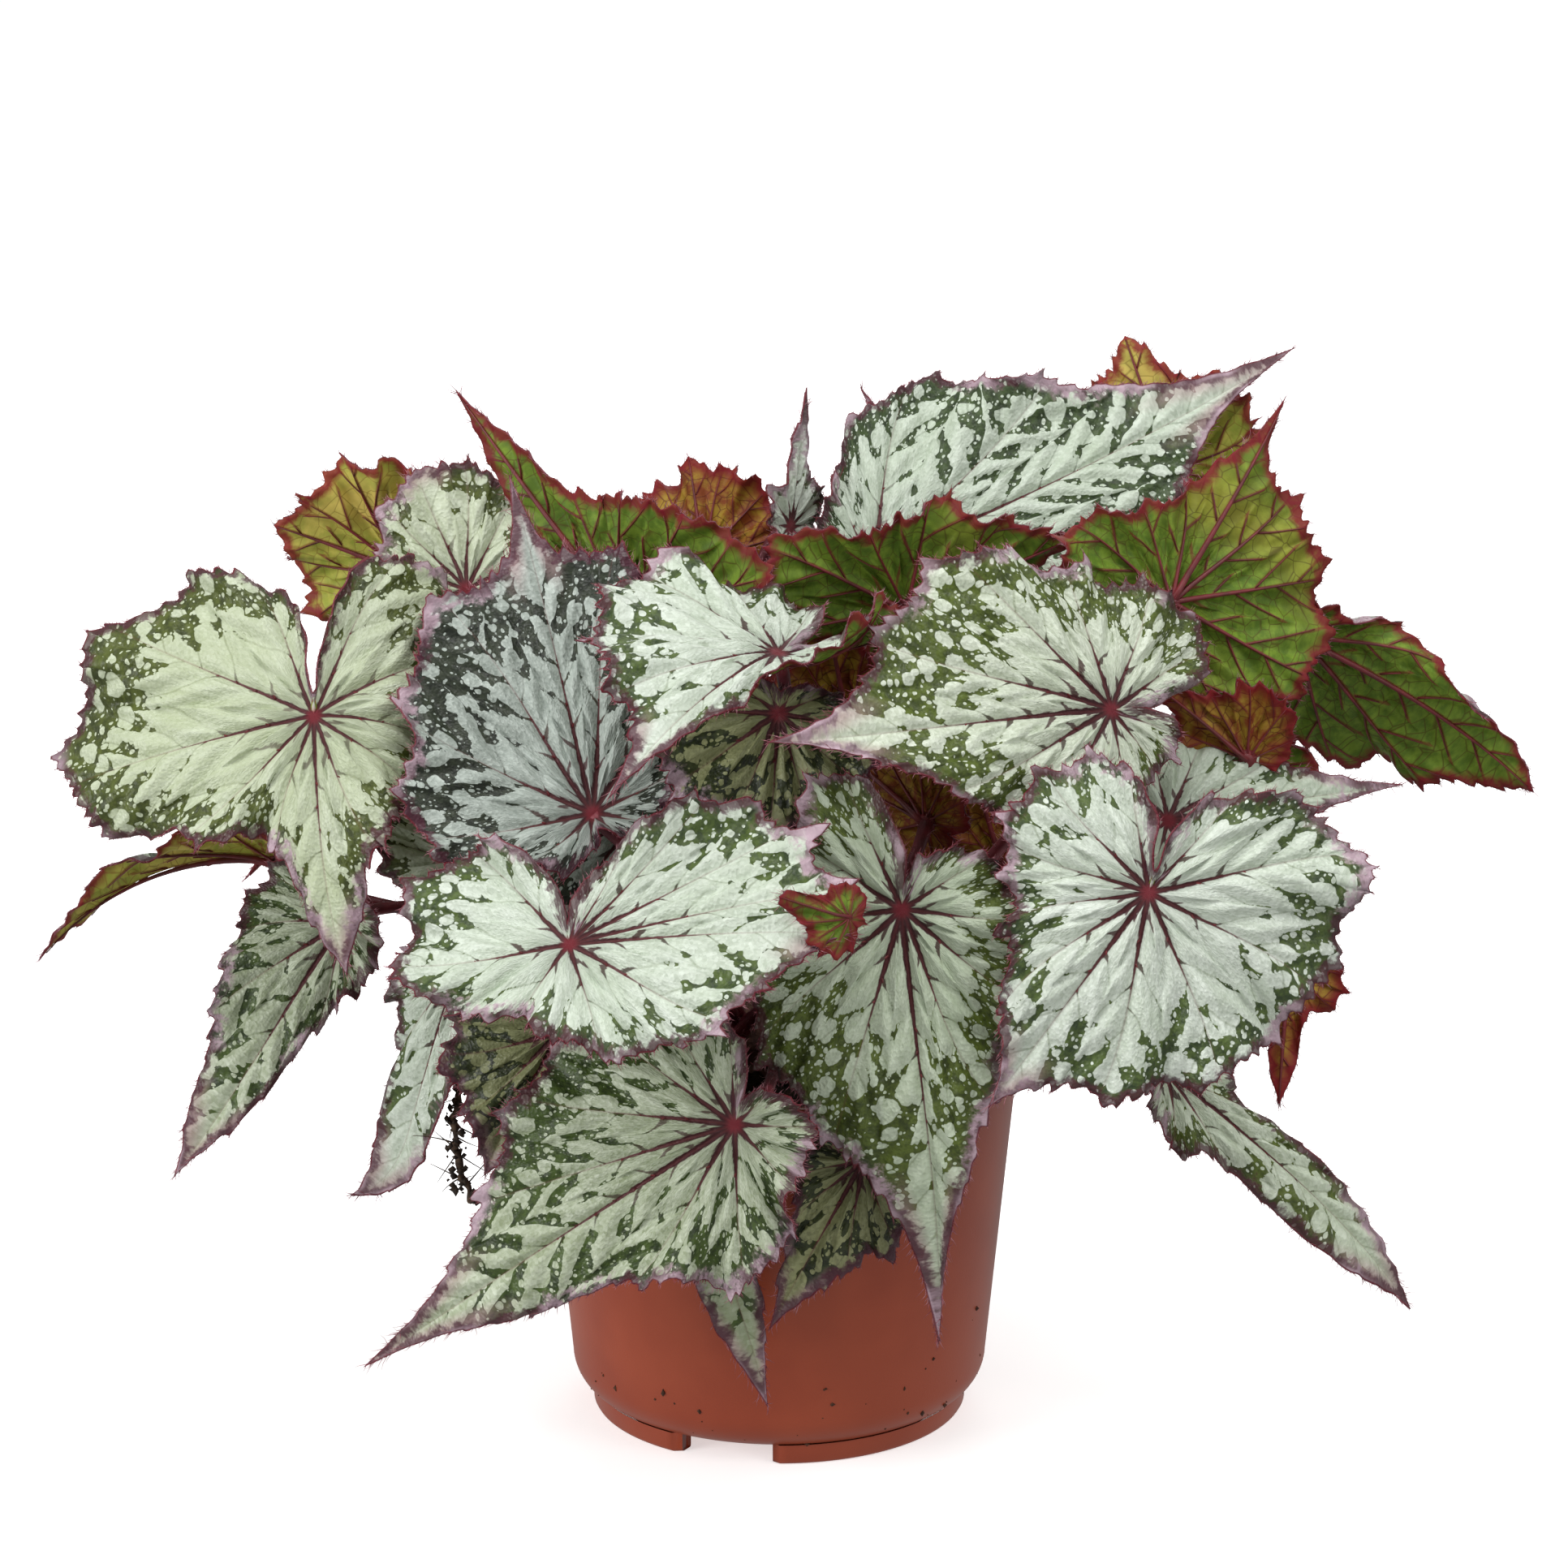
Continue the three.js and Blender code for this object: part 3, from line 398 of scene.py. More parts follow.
LEAVES = (
    LeafForm("crown", (-10, 20, 240), (-60, 60, 225), (-0.1, 0.1, 0.98), 0.8,
             (44, 40, 36, 32, 24), (46, 40, 36, 30, 22), 180, 20, (-10, -10), 4),
    LeafForm("inner_low", (-40, -36, 186), (-54, -62, 132), (-0.1, -0.95, 0.2), 0.85,
             (38, 36, 32, 26, 18), (40, 38, 32, 26, 18), 180, 15, (-10, -10), 4, look=Look.DUSK_SHADE),
    LeafForm("top_under", (35, -5, 240), (83, 0, 258), (0, 0.9, 0.4), 0.95,
             (38, 33, 28, 44, 40), (20, 14, 12, 14, 20), 160, 0, (0, 0), 4),
    LeafForm("top_right", (109, -10, 242), (143, 15, 295), (-0.05, 0.95, 0.2), 0.72,
             (34, 28, 36, 38, 20), (48, 48, 48, 34, 20), 180, -10, (-10, -10), 4, look=Look.GREEN),
    LeafForm("centre_under", (-44, -3, 240), (-92, 27, 295), (0.1, 0.85, 0.45), 0.78,
             (26, 22, 16, 14, 12), (34, 32, 38, 50, 50), 180, -10, (0, 0), 4),
    LeafForm("left_top", (-89, 10, 241), (-104, 25, 273), (0, -0.9, 0.4), 0.95,
             (38, 32, 26, 20, 10), (34, 26, 22, 16, 12), 180, 0, (0, 0), 4, look=Look.SPRING),
    LeafForm("left_edge", (-144, 10, 163), (-213, 0, 134), (-0.1, 0.35, 0.93), 0.9,
             (46, 28, 16, 10, 8), (48, 28, 16, 10, 8), 180, 60, (10, 60), 4, under=Under.GOLDEN_BACKLIT),
    LeafForm("right_red", (146, -10, 135), (143, -20, 96), (0.2, 0.9, 0.1), 0.85,
             (16, 18, 16, 12, 8), (16, 16, 14, 12, 8), 180, 10, (10, 10), 3, under=Under.RUSTY),
    LeafForm("right_under", (126, 20, 202), (158, 5, 182), (0.2, 0.85, 0.4), 0.85,
             (26, 20, 16, 12, 10), (30, 24, 16, 12, 10), 180, 10, (10, 10), 3),
    LeafForm("far_right", (148, 10, 229), (215, -5, 185), (0.1, 0.85, 0.5), 0.93,
             (42, 18, 12, 10, 8), (60, 48, 28, 16, 10), 180, 25, (20, 0), 4),
    LeafForm("centre_red", (42, -52, 190), (10, -32, 210), (0, 0.9, 0.4), 0.85,
             (30, 26, 24, 20, 14), (28, 24, 20, 16, 12), 180, 10, (0, 0), 4, under=Under.RUSTY),
    LeafForm("left_inner", (-87, -45, 176), (-107, -25, 208), (0, -0.9, 0.4), 0.85,
             (30, 26, 22, 16, 10), (30, 26, 20, 14, 10), 180, 10, (0, 0), 4, look=Look.SPRING),
    LeafForm("right_mid", (109, -30, 184), (178, 0, 186), (0.1, -0.8, 0.6), 0.7,
             (20, 26, 26, 20, 12), (40, 38, 28, 20, 12), 180, 20, (-10, -10), 3),
    LeafForm("right_low", (109, -45, 115), (182, -25, 36), (0.2, -0.6, 0.7), 0.85,
             (34, 24, 14, 8, 8), (30, 24, 16, 10, 8), 180, 20, (-50, -30), 3, look=Look.GREEN),
    LeafForm("left_low", (-123, -20, 152), (-172, -35, 80), (-0.3, -0.9, 0.2), 0.84,
             (46, 34, 28, 22, 12), (32, 21, 14, 10, 8), 180, 10, (-10, -10), 3, look=Look.SHADE),
    LeafForm("left_small", (-89, -55, 149), (-120, -50, 80), (-0.7, -0.7, 0.1), 0.9,
             (40, 26, 18, 14, 10), (40, 26, 20, 14, 10), 180, 10, (0, 0), 3, curl=-110),
    LeafForm("left_dark", (-60, -72, 135), (-81, -75, 95), (-0.1, -1, 0.3), 0.9,
             (35, 34, 26, 20, 14), (30, 22, 18, 14, 12), 180, 10, (-10, -10), 3, look=Look.OLIVE_SHADE,
             under=Under.RUSTY),
    LeafForm("pot_tip", (-30, -84, 118), (-3, -78, 27), (0, -1, 0.1), 0.8,
             (22, 20, 18, 14, 10), (22, 20, 18, 14, 10), 180, 5, (-10, -10), 3, look=Look.SHADE),
    LeafForm("low_dark", (23, -88, 103), (-3, -86, 53), (0.1, -1, 0.1), 0.8,
             (26, 20, 16, 14, 10), (32, 27, 20, 16, 12), 180, 5, (-10, -10), 3, look=Look.OLIVE_SHADE),
    LeafForm("mid_left", (-51, -62, 195), (-75, -14, 279), (0, -0.95, 0.3), 0.74,
             (74, 56, 30, 20, 12), (76, 58, 48, 28, 14), 190, -20, (15, 20), 4, heel=40, look=Look.DUSK_SHADE),
    LeafForm("left_big", (-128, -45, 218), (-118, -70, 151), (-0.25, -0.8, 0.55), 0.88,
             (38, 49, 81, 71, 50), (42, 40, 48, 60, 58), 175, 35, (-10, -72), 5, look=Look.SPRING),
    LeafForm("centre_dark", (0, -66, 224), (-4, -84, 186), (0, -0.95, 0.3), 0.9,
             (34, 36, 34, 18, 10), (32, 32, 28, 16, 9), 180, 10, (0, 0), 3, look=Look.OLIVE_SHADE),
    LeafForm("mid_top", (0, -60, 240), (-45, -104, 210), (-0.1, -0.6, 0.8), 0.75,
             (50, 52, 50, 38, 32), (30, 26, 30, 37, 34), 172, 50, (0, 110), 4),
    LeafForm("mid_right", (91, -58, 223), (-3, -98, 224), (0.2, -0.85, 0.5), 0.79,
             (71, 61, 44, 40, 40), (56, 46, 30, 22, 22), 178, 15, (-10, -20), 4, look=Look.GREEN),
    LeafForm("front_right", (99, -92, 181), (56, -103, 124), (0.1, -0.95, 0.35), 0.85,
             (48, 38, 42, 44, 35), (57, 54, 55, 58, 36), 205, 15, (-15, -15), 4),
    LeafForm("front_low", (-12, -112, 122), (-114, -95, 46), (0, -0.9, 0.45), 0.72,
             (76, 62, 50, 38, 28), (50, 44, 24, 22, 14), 222, 15, (-10, -15), 4, look=Look.SHADE),
    LeafForm("front_drip", (33, -92, 176), (44, -90, 51), (0, -1, 0.3), 0.68,
             (68, 54, 38, 36, 42), (57, 45, 35, 28, 18), 172, 25, (-15, -15), 4, look=Look.GREEN),
    LeafForm("front_left", (-56, -106, 171), (19, -122, 178), (0, -0.68, 0.73), 0.88,
             (52, 34, 25, 48, 46), (74, 68, 55, 34, 16), 100, 10, (-25, 10), 4),
    LeafForm("top_big", (27, 20, 247), (154, 75, 301), (-0.1, -0.85, 0.5), 0.75,
             (94, 66, 40, 30, 20), (80, 65, 32, 20, 20), 170, -15, (0, 0), 5, look=Look.BANDED),
    LeafForm("right_dome", (146, 30, 212), (213, 35, 191), (0.1, -0.35, 0.93), 0.9,
             (40, 30, 22, 16, 10), (44, 36, 30, 20, 10), 180, 60, (-40, -30), 2, look=Look.BANDED),
    LeafForm("left_under", (-108, 40, 240), (-147, 45, 252), (0, 0.9, 0.4), 0.95,
             (36, 36, 32, 24, 14), (36, 38, 34, 26, 18), 180, 10, (0, 0), 4, under=Under.GOLDEN_BACKLIT),
    LeafForm("back_e", (-105, 35, 180), (-160, 62, 140), (-0.6, 0.4, 0.7), 0.8,
             (44, 38, 34, 30, 22), (46, 42, 36, 32, 24), 180, 30, (-15, -15), 4),
    LeafForm("back_red", (-22, 70, 236), (-27, 85, 264), (0, 0.9, 0.4), 0.95,
             (28, 28, 20, 14, 10), (28, 28, 24, 14, 10), 180, 0, (0, 0), 4, under=Under.RUSTY),
    LeafForm("back_tip", (4, 60, 248), (8, 68, 288), (0.8, -0.5, 0.3), 0.75,
             (18, 16, 12, 10, 8), (18, 16, 12, 10, 8), 180, 0, (0, 0), 3),
    LeafForm("back_a", (-72, 62, 212), (-135, 118, 168), (-0.4, 0.5, 0.75), 0.8,
             (46, 42, 36, 34, 26), (48, 46, 42, 38, 28), 185, 30, (-15, -15), 4),
    LeafForm("back_d", (100, 72, 186), (156, 114, 140), (0.5, 0.4, 0.75), 0.8,
             (46, 42, 36, 32, 22), (44, 40, 36, 32, 24), 175, 30, (-15, -15), 4),
    LeafForm("back_h", (90, 50, 135), (135, 90, 75), (0.5, 0.6, 0.6), 0.8,
             (40, 36, 32, 28, 20), (42, 38, 32, 28, 22), 180, 25, (-15, -15), 4),
    LeafForm("back_f", (-48, 78, 152), (-80, 128, 90), (-0.2, 0.8, 0.6), 0.8,
             (44, 38, 34, 30, 22), (46, 42, 36, 32, 24), 180, 25, (-15, -15), 4),
    LeafForm("back_g", (30, 82, 152), (34, 135, 92), (0.1, 0.8, 0.6), 0.8,
             (44, 38, 34, 30, 22), (46, 42, 36, 32, 24), 180, 25, (-15, -15), 4),
    LeafForm("back_b", (-32, 86, 186), (-50, 124, 126), (0, 0.6, 0.8), 0.8,
             (50, 46, 42, 36, 24), (46, 42, 38, 36, 26), 175, 30, (-15, -15), 4),
    LeafForm("back_c", (60, 86, 220), (82, 135, 158), (0.1, 0.6, 0.8), 0.8,
             (48, 44, 38, 34, 24), (50, 44, 40, 36, 26), 185, 30, (-15, -15), 4, look=Look.BANDED),
    LeafForm("top_back", (119, 95, 258), (104, 108, 297), (0, 0.9, 0.4), 0.95,
             (36, 34, 28, 18, 12), (30, 32, 28, 18, 12), 180, 0, (0, 0), 4, under=Under.GOLDEN_BACKLIT),
    LeafForm("back_curl", (40, 70, 262), (24, 74, 288), (0, -0.9, 0.4), 0.7,
             (12, 14, 12, 10, 8), (10, 12, 12, 10, 8), 180, 0, (0, 0), 2),
)

# Small inner leaves, which fill the gaps between the big ones and show their red undersides, and the folded
# tip of the front left leaf. No solid stands for them.
YOUNG = (
    LeafForm("young_a", (21, 8, 198), (10, 2, 249), (0.1, 0.9, 0.3), 0.85,
             (30, 30, 26, 18, 12), (28, 30, 26, 18, 12), 180, 10, (-10, -10), 3, under=Under.RUSTY),
    LeafForm("young_b", (66, 6, 156), (50, -2, 204), (0, 0.9, 0.3), 0.85,
             (24, 24, 22, 18, 12), (24, 24, 22, 18, 12), 180, 10, (-10, -10), 3, under=Under.RUSTY),
    LeafForm("young_c", (132, -14, 198), (104, -18, 221), (0, 0.9, 0.2), 0.85,
             (22, 22, 18, 14, 10), (22, 22, 20, 14, 10), 180, 10, (-10, -10), 3, under=Under.RUSTY),
    LeafForm("folded_tip", (18, -120, 182), (0, -127, 190), (0.1, 0.9, -0.3), 0.97,
             (13, 12, 11, 8, 4), (10, 10, 9, 7, 4), 180, 20, (-25, -25), 1, folded=True),
)

# Places round a blade, in degrees from the tip on a side that has 180 of them: the solid's margin points, the
# main veins with the notch last, and the lines halfway between the main veins.
MARGIN_TURNS = (1.5, 5, 12, 22, 33, 45, 57, 69, 81, 93, 105, 117, 129, 141, 153, 164, 173)
VEIN_TURNS = (0, 20, 50, 85, 120, 155, 180)
SECTOR_TURNS = (10, 35, 67.5, 102.5, 137.5)
SOLID_DRIP_WIDTH = 3.2  # degrees over which the solid's drip tip narrows
DRIP_WIDTH = 2.2  # the same here
VEIN_GAP = 7.9  # millimetres from one side vein to the next, square across
PHASE_STEP = 2.4  # radians by which the waves of each leaf run ahead of the leaf before
EASE_STEP = 1.5  # solid blades were eased outwards in steps of so many millimetres
EASE_LEAN = 0.26  # and by this share downwards
# The margin's waves: their height, how many go round the blade, and how fast the leaf's own phase turns them.
WAVES = ((0.6, 5, 1), (0.5, 10, 2))
# The same for the ruffles, which the leaf's own seed turns.
RUFFLES = ((1.0, 11, 6), (0.7, 19, 9))


@dataclass
class LeafSurface:
    """The middle surface of one blade: where a point lies, from its angle and distance from the stalk."""

    form: LeafForm
    phase: float
    cleft_radius: float = 6.0
    least_radius: float = 3.0
    cup_width: float = 40.0  # from the midrib, over which a half bends by its whole cup angle
    least_cup: float = 0.01  # degrees, in place of none
    curl_start: float = 0.62  # share of the length at which the tip starts to curl
    line_reach: float = 1.5  # lengths to both sides of the stalk over which the midrib's line is worked out
    line_points: int = 1501
    tooth: float = 0.045  # how far a main tooth stands out, as a share of the radius
    tip_calm: float = 12.0  # degrees to both sides of the tip that have no main teeth
    wave_calm: float = 15.0  # the same for waves, which fade out there
    wave_reach: float = 30.0  # radius from which the waves have their full height
    wave_growth: float = 2.5

    def __post_init__(self) -> None:
        """Lays out the midrib's line and the blade's own axes."""
        form = self.form
        self.shares = np.linspace(-self.line_reach, self.line_reach, self.line_points)
        turn = self.heading(self.shares)
        step = self.shares[1] - self.shares[0]
        middle = len(self.shares) // 2
        along = np.concatenate([[0], np.cumsum((np.cos(turn[1:]) + np.cos(turn[:-1])) / 2 * step)])
        up = np.concatenate([[0], np.cumsum((np.sin(turn[1:]) + np.sin(turn[:-1])) / 2 * step)])
        self.along, self.up = along - along[middle], up - up[middle]
        end = np.array([np.interp(1, self.shares, self.along), np.interp(1, self.shares, self.up)])
        chord = np.linalg.norm(end)
        reach = np.array(form.tip, float) - form.at
        self.length = float(np.linalg.norm(reach) / chord)
        self.ahead = unit(reach)
        face = np.array(form.face, float)
        self.face = unit(face - self.ahead * np.dot(face, self.ahead))
        self.left = np.cross(self.face, self.ahead)
        self.cos, self.sin = end / chord
        self.body = form.body * self.length
        self.shift = np.zeros(3)

    def heading(self, share: np.ndarray) -> np.ndarray:
        """Gives how far the midrib has turned.

        Args:
            share: Distance from the stalk as a share of the length, below 0 behind it.

        Returns:
            Radians, upwards.
        """
        end = np.clip((share - self.curl_start) / (1 - self.curl_start), 0, 1)
        ahead = -math.radians(self.form.droop) * share - math.radians(self.form.curl) * end**2
        return np.where(share < 0, 2 * math.radians(self.form.heel) * share, ahead)

    def spans(self, angle: np.ndarray) -> np.ndarray:
        """Returns the angle from tip to cleft on each point's own side, in degrees."""
        return np.where(angle >= 0, self.form.cleft, 360 - self.form.cleft)

    def calm(self, angle: np.ndarray, reach: np.ndarray) -> np.ndarray:
        """Returns the share of its waves that the blade has, less by the tip and where it is narrow."""
        return np.clip(np.abs(angle) / self.wave_calm, 0, 1) * np.clip(reach / self.wave_reach, 0, 1)

    def margin_radius(self, angle: np.ndarray) -> np.ndarray:
        """Gives the distance from the stalk to the plain margin, without teeth.

        Args:
            angle: Degrees from the tip, positive to the left.

        Returns:
            Millimetres.
        """
        turn = np.abs(angle) / self.spans(angle) * 180
        radius = np.zeros_like(turn)
        for left, veins in ((True, self.form.left), (False, self.form.right)):
            ends = np.array([self.body, *veins, self.cleft_radius])
            last = len(ends) - 2
            i = np.clip(np.searchsorted(VEIN_TURNS, turn, side="right") - 1, 0, last)
            turns = np.array(VEIN_TURNS, float)
            t = (turn - turns[i]) / (turns[i + 1] - turns[i])
            rise = ends[i + 1] - ends[i]
            leaving = np.where(i == 0, 0, (ends[i + 1] - ends[np.maximum(i - 1, 0)]) / 2)
            arriving = np.where(i == last, 2 * rise, (ends[np.minimum(i + 2, last + 1)] - ends[i]) / 2)
            value = ends[i] + rise * t * t * (3 - 2 * t) + t * (1 - t) ** 2 * leaving
            value = value - t * t * (1 - t) * arriving
            radius = np.where((angle >= 0) == left, np.maximum(value, self.least_radius), radius)
        return radius

    def drip_length(self, angle: np.ndarray, width: float = DRIP_WIDTH) -> np.ndarray:
        """Returns what the drip tip adds to the margin's distance, in millimetres."""
        return (self.length - self.body) * np.exp(-np.abs(angle) / width)

    def place(self, angle: np.ndarray, radius: np.ndarray, reach: np.ndarray) -> np.ndarray:
        """Finds points of the surface.

        Args:
            angle: Degrees from the tip, positive to the left.
            radius: Distance from the stalk along the blade.
            reach: Distance from the stalk to the margin at that angle.

        Returns:
            One more axis than the inputs, with x, y and z in millimetres.
        """
        form = self.form
        turn = np.radians(angle)
        x, y = radius * np.cos(turn), radius * np.sin(turn)
        waves = sum(height * np.cos(count * turn + lead * self.phase) for height, count, lead in WAVES)
        wave = form.wave * waves * self.calm(angle, reach) * (radius / reach) ** self.wave_growth
        right, left = (math.radians(c or self.least_cup) / self.cup_width for c in form.cup)
        bend = np.where(y >= 0, left, right)
        lean = bend * np.abs(y)
        across = np.sin(lean) / bend - wave * np.sin(lean)
        above = (1 - np.cos(lean)) / bend + wave * np.cos(lean)
        share = x / self.length
        turned = self.heading(share)
        along = np.interp(share, self.shares, self.along) * self.length - above * np.sin(turned)
        up = np.interp(share, self.shares, self.up) * self.length + above * np.cos(turned)
        ahead = along * self.cos + up * self.sin
        face = up * self.cos - along * self.sin
        aside = np.sign(y) * across
        start = np.array(form.at) + self.shift
        parts = ((ahead, self.ahead), (face, self.face), (aside, self.left), (1, start))
        return sum(np.asarray(value)[..., None] * axis for value, axis in parts)

    def centre(self) -> np.ndarray:
        """Returns the point where the stalk meets the blade, in millimetres."""
        return self.place(np.zeros(1), np.zeros(1), np.ones(1))[0]

    def coarse_teeth(self) -> tuple[np.ndarray, np.ndarray]:
        """Lists the solid blade's margin points, from the notch round by the tip to the notch again.

        Returns:
            Their angles in degrees, and how far each stands out: 1 on a main tooth, -1 between two.
        """
        turns = np.array(MARGIN_TURNS, float)
        cleft = self.form.cleft
        left = np.where(turns < self.tip_calm, turns, turns * cleft / 180)
        right = -np.where(turns < self.tip_calm, turns, turns * (360 - cleft) / 180)
        angles = np.concatenate([[cleft - 360], right[::-1], [0], left, [cleft]])
        stands = np.where(np.arange(len(angles)) % 2 == 0, 1.0, -1.0)
        return angles, np.where(np.abs(angles) < self.tip_calm, 0.0, stands)

    def settle(self, node: str) -> None:
        """Moves the surface to where the solid blade was eased to.

        Args:
            node: The solid's name.
        """
        angles, stands = self.coarse_teeth()
        drip = self.drip_length(angles, SOLID_DRIP_WIDTH)
        reach = self.margin_radius(angles) * (1 + self.tooth * stands) + drip
        points = self.place(angles, reach, reach)
        low, high = (np.array(corner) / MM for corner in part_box(node))
        way = math.copysign(1, self.form.at[1]) if self.form.at[1] else 1
        direction = np.array([0, way * math.sqrt(1 - EASE_LEAN**2), -way * EASE_LEAN])
        gap = (low + high) / 2 - (points.min(axis=0) + points.max(axis=0)) / 2
        self.shift = direction * round(float(np.dot(gap, direction)) / EASE_STEP) * EASE_STEP


# ---- a leaf's mesh ----


@dataclass(frozen=True)
class LeafDetail:
    """Sizes of what a leaf has that its solid leaves out, in millimetres or, where it says so, degrees."""

    margin_step: float = 0.8  # between the grid's points along the margin
    row_step: float = 1.95  # between them from the stalk outwards
    least_rows: int = 8
    thickness: float = 0.5
    tooth_sizes: tuple[float, float] = (0.8, 1.5)  # least and most of a main tooth, in plain ones
    tooth_point: float = 2.2  # how pointed the main teeth are
    denticle: float = 2.0  # the small teeth between the main ones
    denticle_step: float = 4.0
    denticle_steps: tuple[float, float] = (0.6, 1.4)  # least and most, as a share of that step
    denticle_sizes: tuple[float, float] = (0.5, 1.5)
    denticle_lean: tuple[float, float] = (0.68, 0.32)  # where a small tooth points, as a share of its width
    denticle_point: float = 1.3
    denticle_floor: float = 0.4
    denticle_calm: float = 6.0  # degrees to both sides of the tip in which they are smaller
    denticle_reach: float = 25.0  # radius from which they have their full size
    vein_spacing: float = 13.0  # between side veins, along their main vein
    vein_lean: float = 1.3
    vein_curve: float = 0.004
    vein_stagger: float = 0.5  # by how much of their spacing the left side's veins start later
    quilt: float = 2.4  # how high the panels between the veins swell
    quilt_width: float = 2.6
    quilt_fade: float = 0.4  # the share of that height that is gone at the margin
    groove: float = 1.5  # how deep the main veins are sunk
    groove_width: float = 1.1
    dimple: float = 1.0  # how deep the blade is drawn in at the stalk
    dimple_width: float = 5.0
    relief_start: float = 8.0  # radius from which the relief has its full height
    bow: float = 4.0  # degrees by which a main vein may bow
    midrib_bow: float = 0.4  # the midrib's bow as a share of the other veins'
    main_vein: float = 0.9
    side_vein: float = 0.36
    vein_reach: float = 45.0  # radius of a blade from which its veins have their full thickness
    vein_sink: float = 0.3  # how deep a vein's tube is sunk in the underside
    hair_spacing: float = 0.7
    hair_radius: float = 0.11
    hair_lengths: tuple[float, float] = (0.8, 2.6)
    ruffle: float = 1.6  # height of the small waves at the margin
    ruffle_growth: int = 3
    pattern_ring: float = 0.75  # where the pattern is drawn to scale, as a share of the mean radius
    margin_reach: float = 30.0  # how far in the distance to the margin is worked out


class Leaf:
    """One leaf blade with its quilted faces, veins and hairs."""

    ENDS = (slice(None, -1), slice(1, None))  # the right and the left end of each face of a row
    UPPER, UNDER, VEIN, HAIR = range(4)  # material slots

    def __init__(self, form: LeafForm, number: int, detail: LeafDetail) -> None:
        """Sets the blade out on its settled surface.

        Args:
            form: The leaf's own shape.
            number: Its place in the table, which seeds what varies from leaf to leaf.
            detail: Sizes of its fine parts.
        """
        self.form = form
        self.detail = detail
        self.rng = np.random.default_rng(number + 11)
        self.seed = float(self.rng.random())
        self.surface = LeafSurface(form, PHASE_STEP * number)
        self.nodes = () if form in YOUNG else (f"leaf_{form.name}",)
        for node in self.nodes:
            self.surface.settle(node)
        self.bows = self.rng.uniform(-detail.bow, detail.bow, 2 * len(VEIN_TURNS))
        self.lay_columns()

    def lay_columns(self) -> None:
        """Chooses the angles that the grid has points at, with the margin's distance at each."""
        surface, detail = self.surface, self.detail
        coarse, stands = surface.coarse_teeth()
        turns = np.array(SECTOR_TURNS + VEIN_TURNS[:-1]) / 180
        cleft = self.form.cleft
        keys = np.unique(np.round(np.concatenate([coarse, turns * cleft, -turns * (360 - cleft)]), 4))
        angles = [keys[:1]]
        for start, end in zip(keys[:-1], keys[1:]):
            pair = np.array([start, end])
            near = surface.margin_radius(pair) + surface.drip_length(pair)
            width = math.hypot(near.mean() * math.radians(end - start), near[1] - near[0])
            count = max(2, math.ceil(width / detail.margin_step))
            angles.append(start + (end - start) * np.arange(1, count + 1) / count)
        self.angles = np.concatenate(angles)
        plain = surface.margin_radius(self.angles)
        self.plain = plain + surface.drip_length(self.angles)
        main = self.main_teeth(plain, coarse, stands)
        self.reach = self.plain + main + self.small_teeth(plain)
        self.reach[-1] = self.reach[0]
        self.rows = max(detail.least_rows, math.ceil(self.reach.max() / detail.row_step))

    def main_teeth(self, plain: np.ndarray, coarse: np.ndarray, stands: np.ndarray) -> np.ndarray:
        """Gives how far the main teeth stand out, at each of the grid's angles.

        Args:
            plain: The plain margin's distance from the stalk.
            coarse: The angles of the solid's margin points.
            stands: Which of them are teeth and which valleys.

        Returns:
            Millimetres, below 0 in the valleys.
        """
        detail = self.detail
        sizes = np.where(stands > 0, self.rng.uniform(*detail.tooth_sizes, len(stands)), 1.0)
        sizes[-1] = sizes[0] = 1.0
        rise = np.interp(self.angles, coarse, stands)
        peak = np.interp(self.angles, coarse, sizes)
        shaped = 2 * ((rise + 1) / 2) ** detail.tooth_point - 1
        shaped = np.where(np.abs(self.angles) < self.surface.tip_calm, rise, shaped)
        return plain * self.surface.tooth * np.where(shaped > 0, shaped * peak, shaped)

    def small_teeth(self, plain: np.ndarray) -> np.ndarray:
        """Gives how far the small teeth stand out, at each of the grid's angles.

        Args:
            plain: The plain margin's distance from the stalk.

        Returns:
            Millimetres, below 0 between the teeth.
        """
        detail, rng = self.detail, self.rng
        arc = np.concatenate([[0], np.cumsum(plain[1:] * np.radians(np.diff(self.angles)))])
        steps = rng.uniform(*detail.denticle_steps, int(arc[-1] / detail.denticle_step) + 2)
        stops = np.cumsum(steps) * detail.denticle_step
        middle = float(np.interp(0, self.angles, arc))
        lean = np.where(stops[:-1] < middle, *detail.denticle_lean)
        peaks = stops[:-1] + np.diff(stops) * lean
        heights = rng.uniform(*detail.denticle_sizes, len(peaks))
        points = np.concatenate([stops, peaks])
        order = np.argsort(points)
        ramp = np.interp(arc, points[order], np.concatenate([np.zeros(len(stops)), heights])[order])
        away = np.clip(np.abs(self.angles) / detail.denticle_calm, 0.2, 1)
        away = away * np.clip(plain / detail.denticle_reach, 0, 1)
        return detail.denticle * (ramp**detail.denticle_point - detail.denticle_floor) * away

    def warp(self, angle: np.ndarray, share: np.ndarray) -> np.ndarray:
        """Bows the main veins a little.

        Args:
            angle: Degrees from the tip, positive to the left.
            share: Distance from the stalk as a share of the distance to the margin.

        Returns:
            The angles that the points are drawn at, in degrees.
        """
        turn = angle / self.surface.spans(angle) * 180
        stops = np.array(VEIN_TURNS, float)
        places = np.concatenate([-stops[:0:-1], stops])
        bows = np.concatenate([[0], self.bows[: len(places) - 2], [0]])
        bows[len(stops) - 1] *= self.detail.midrib_bow
        return angle + np.interp(turn, places, bows) * 4 * share * (1 - share)

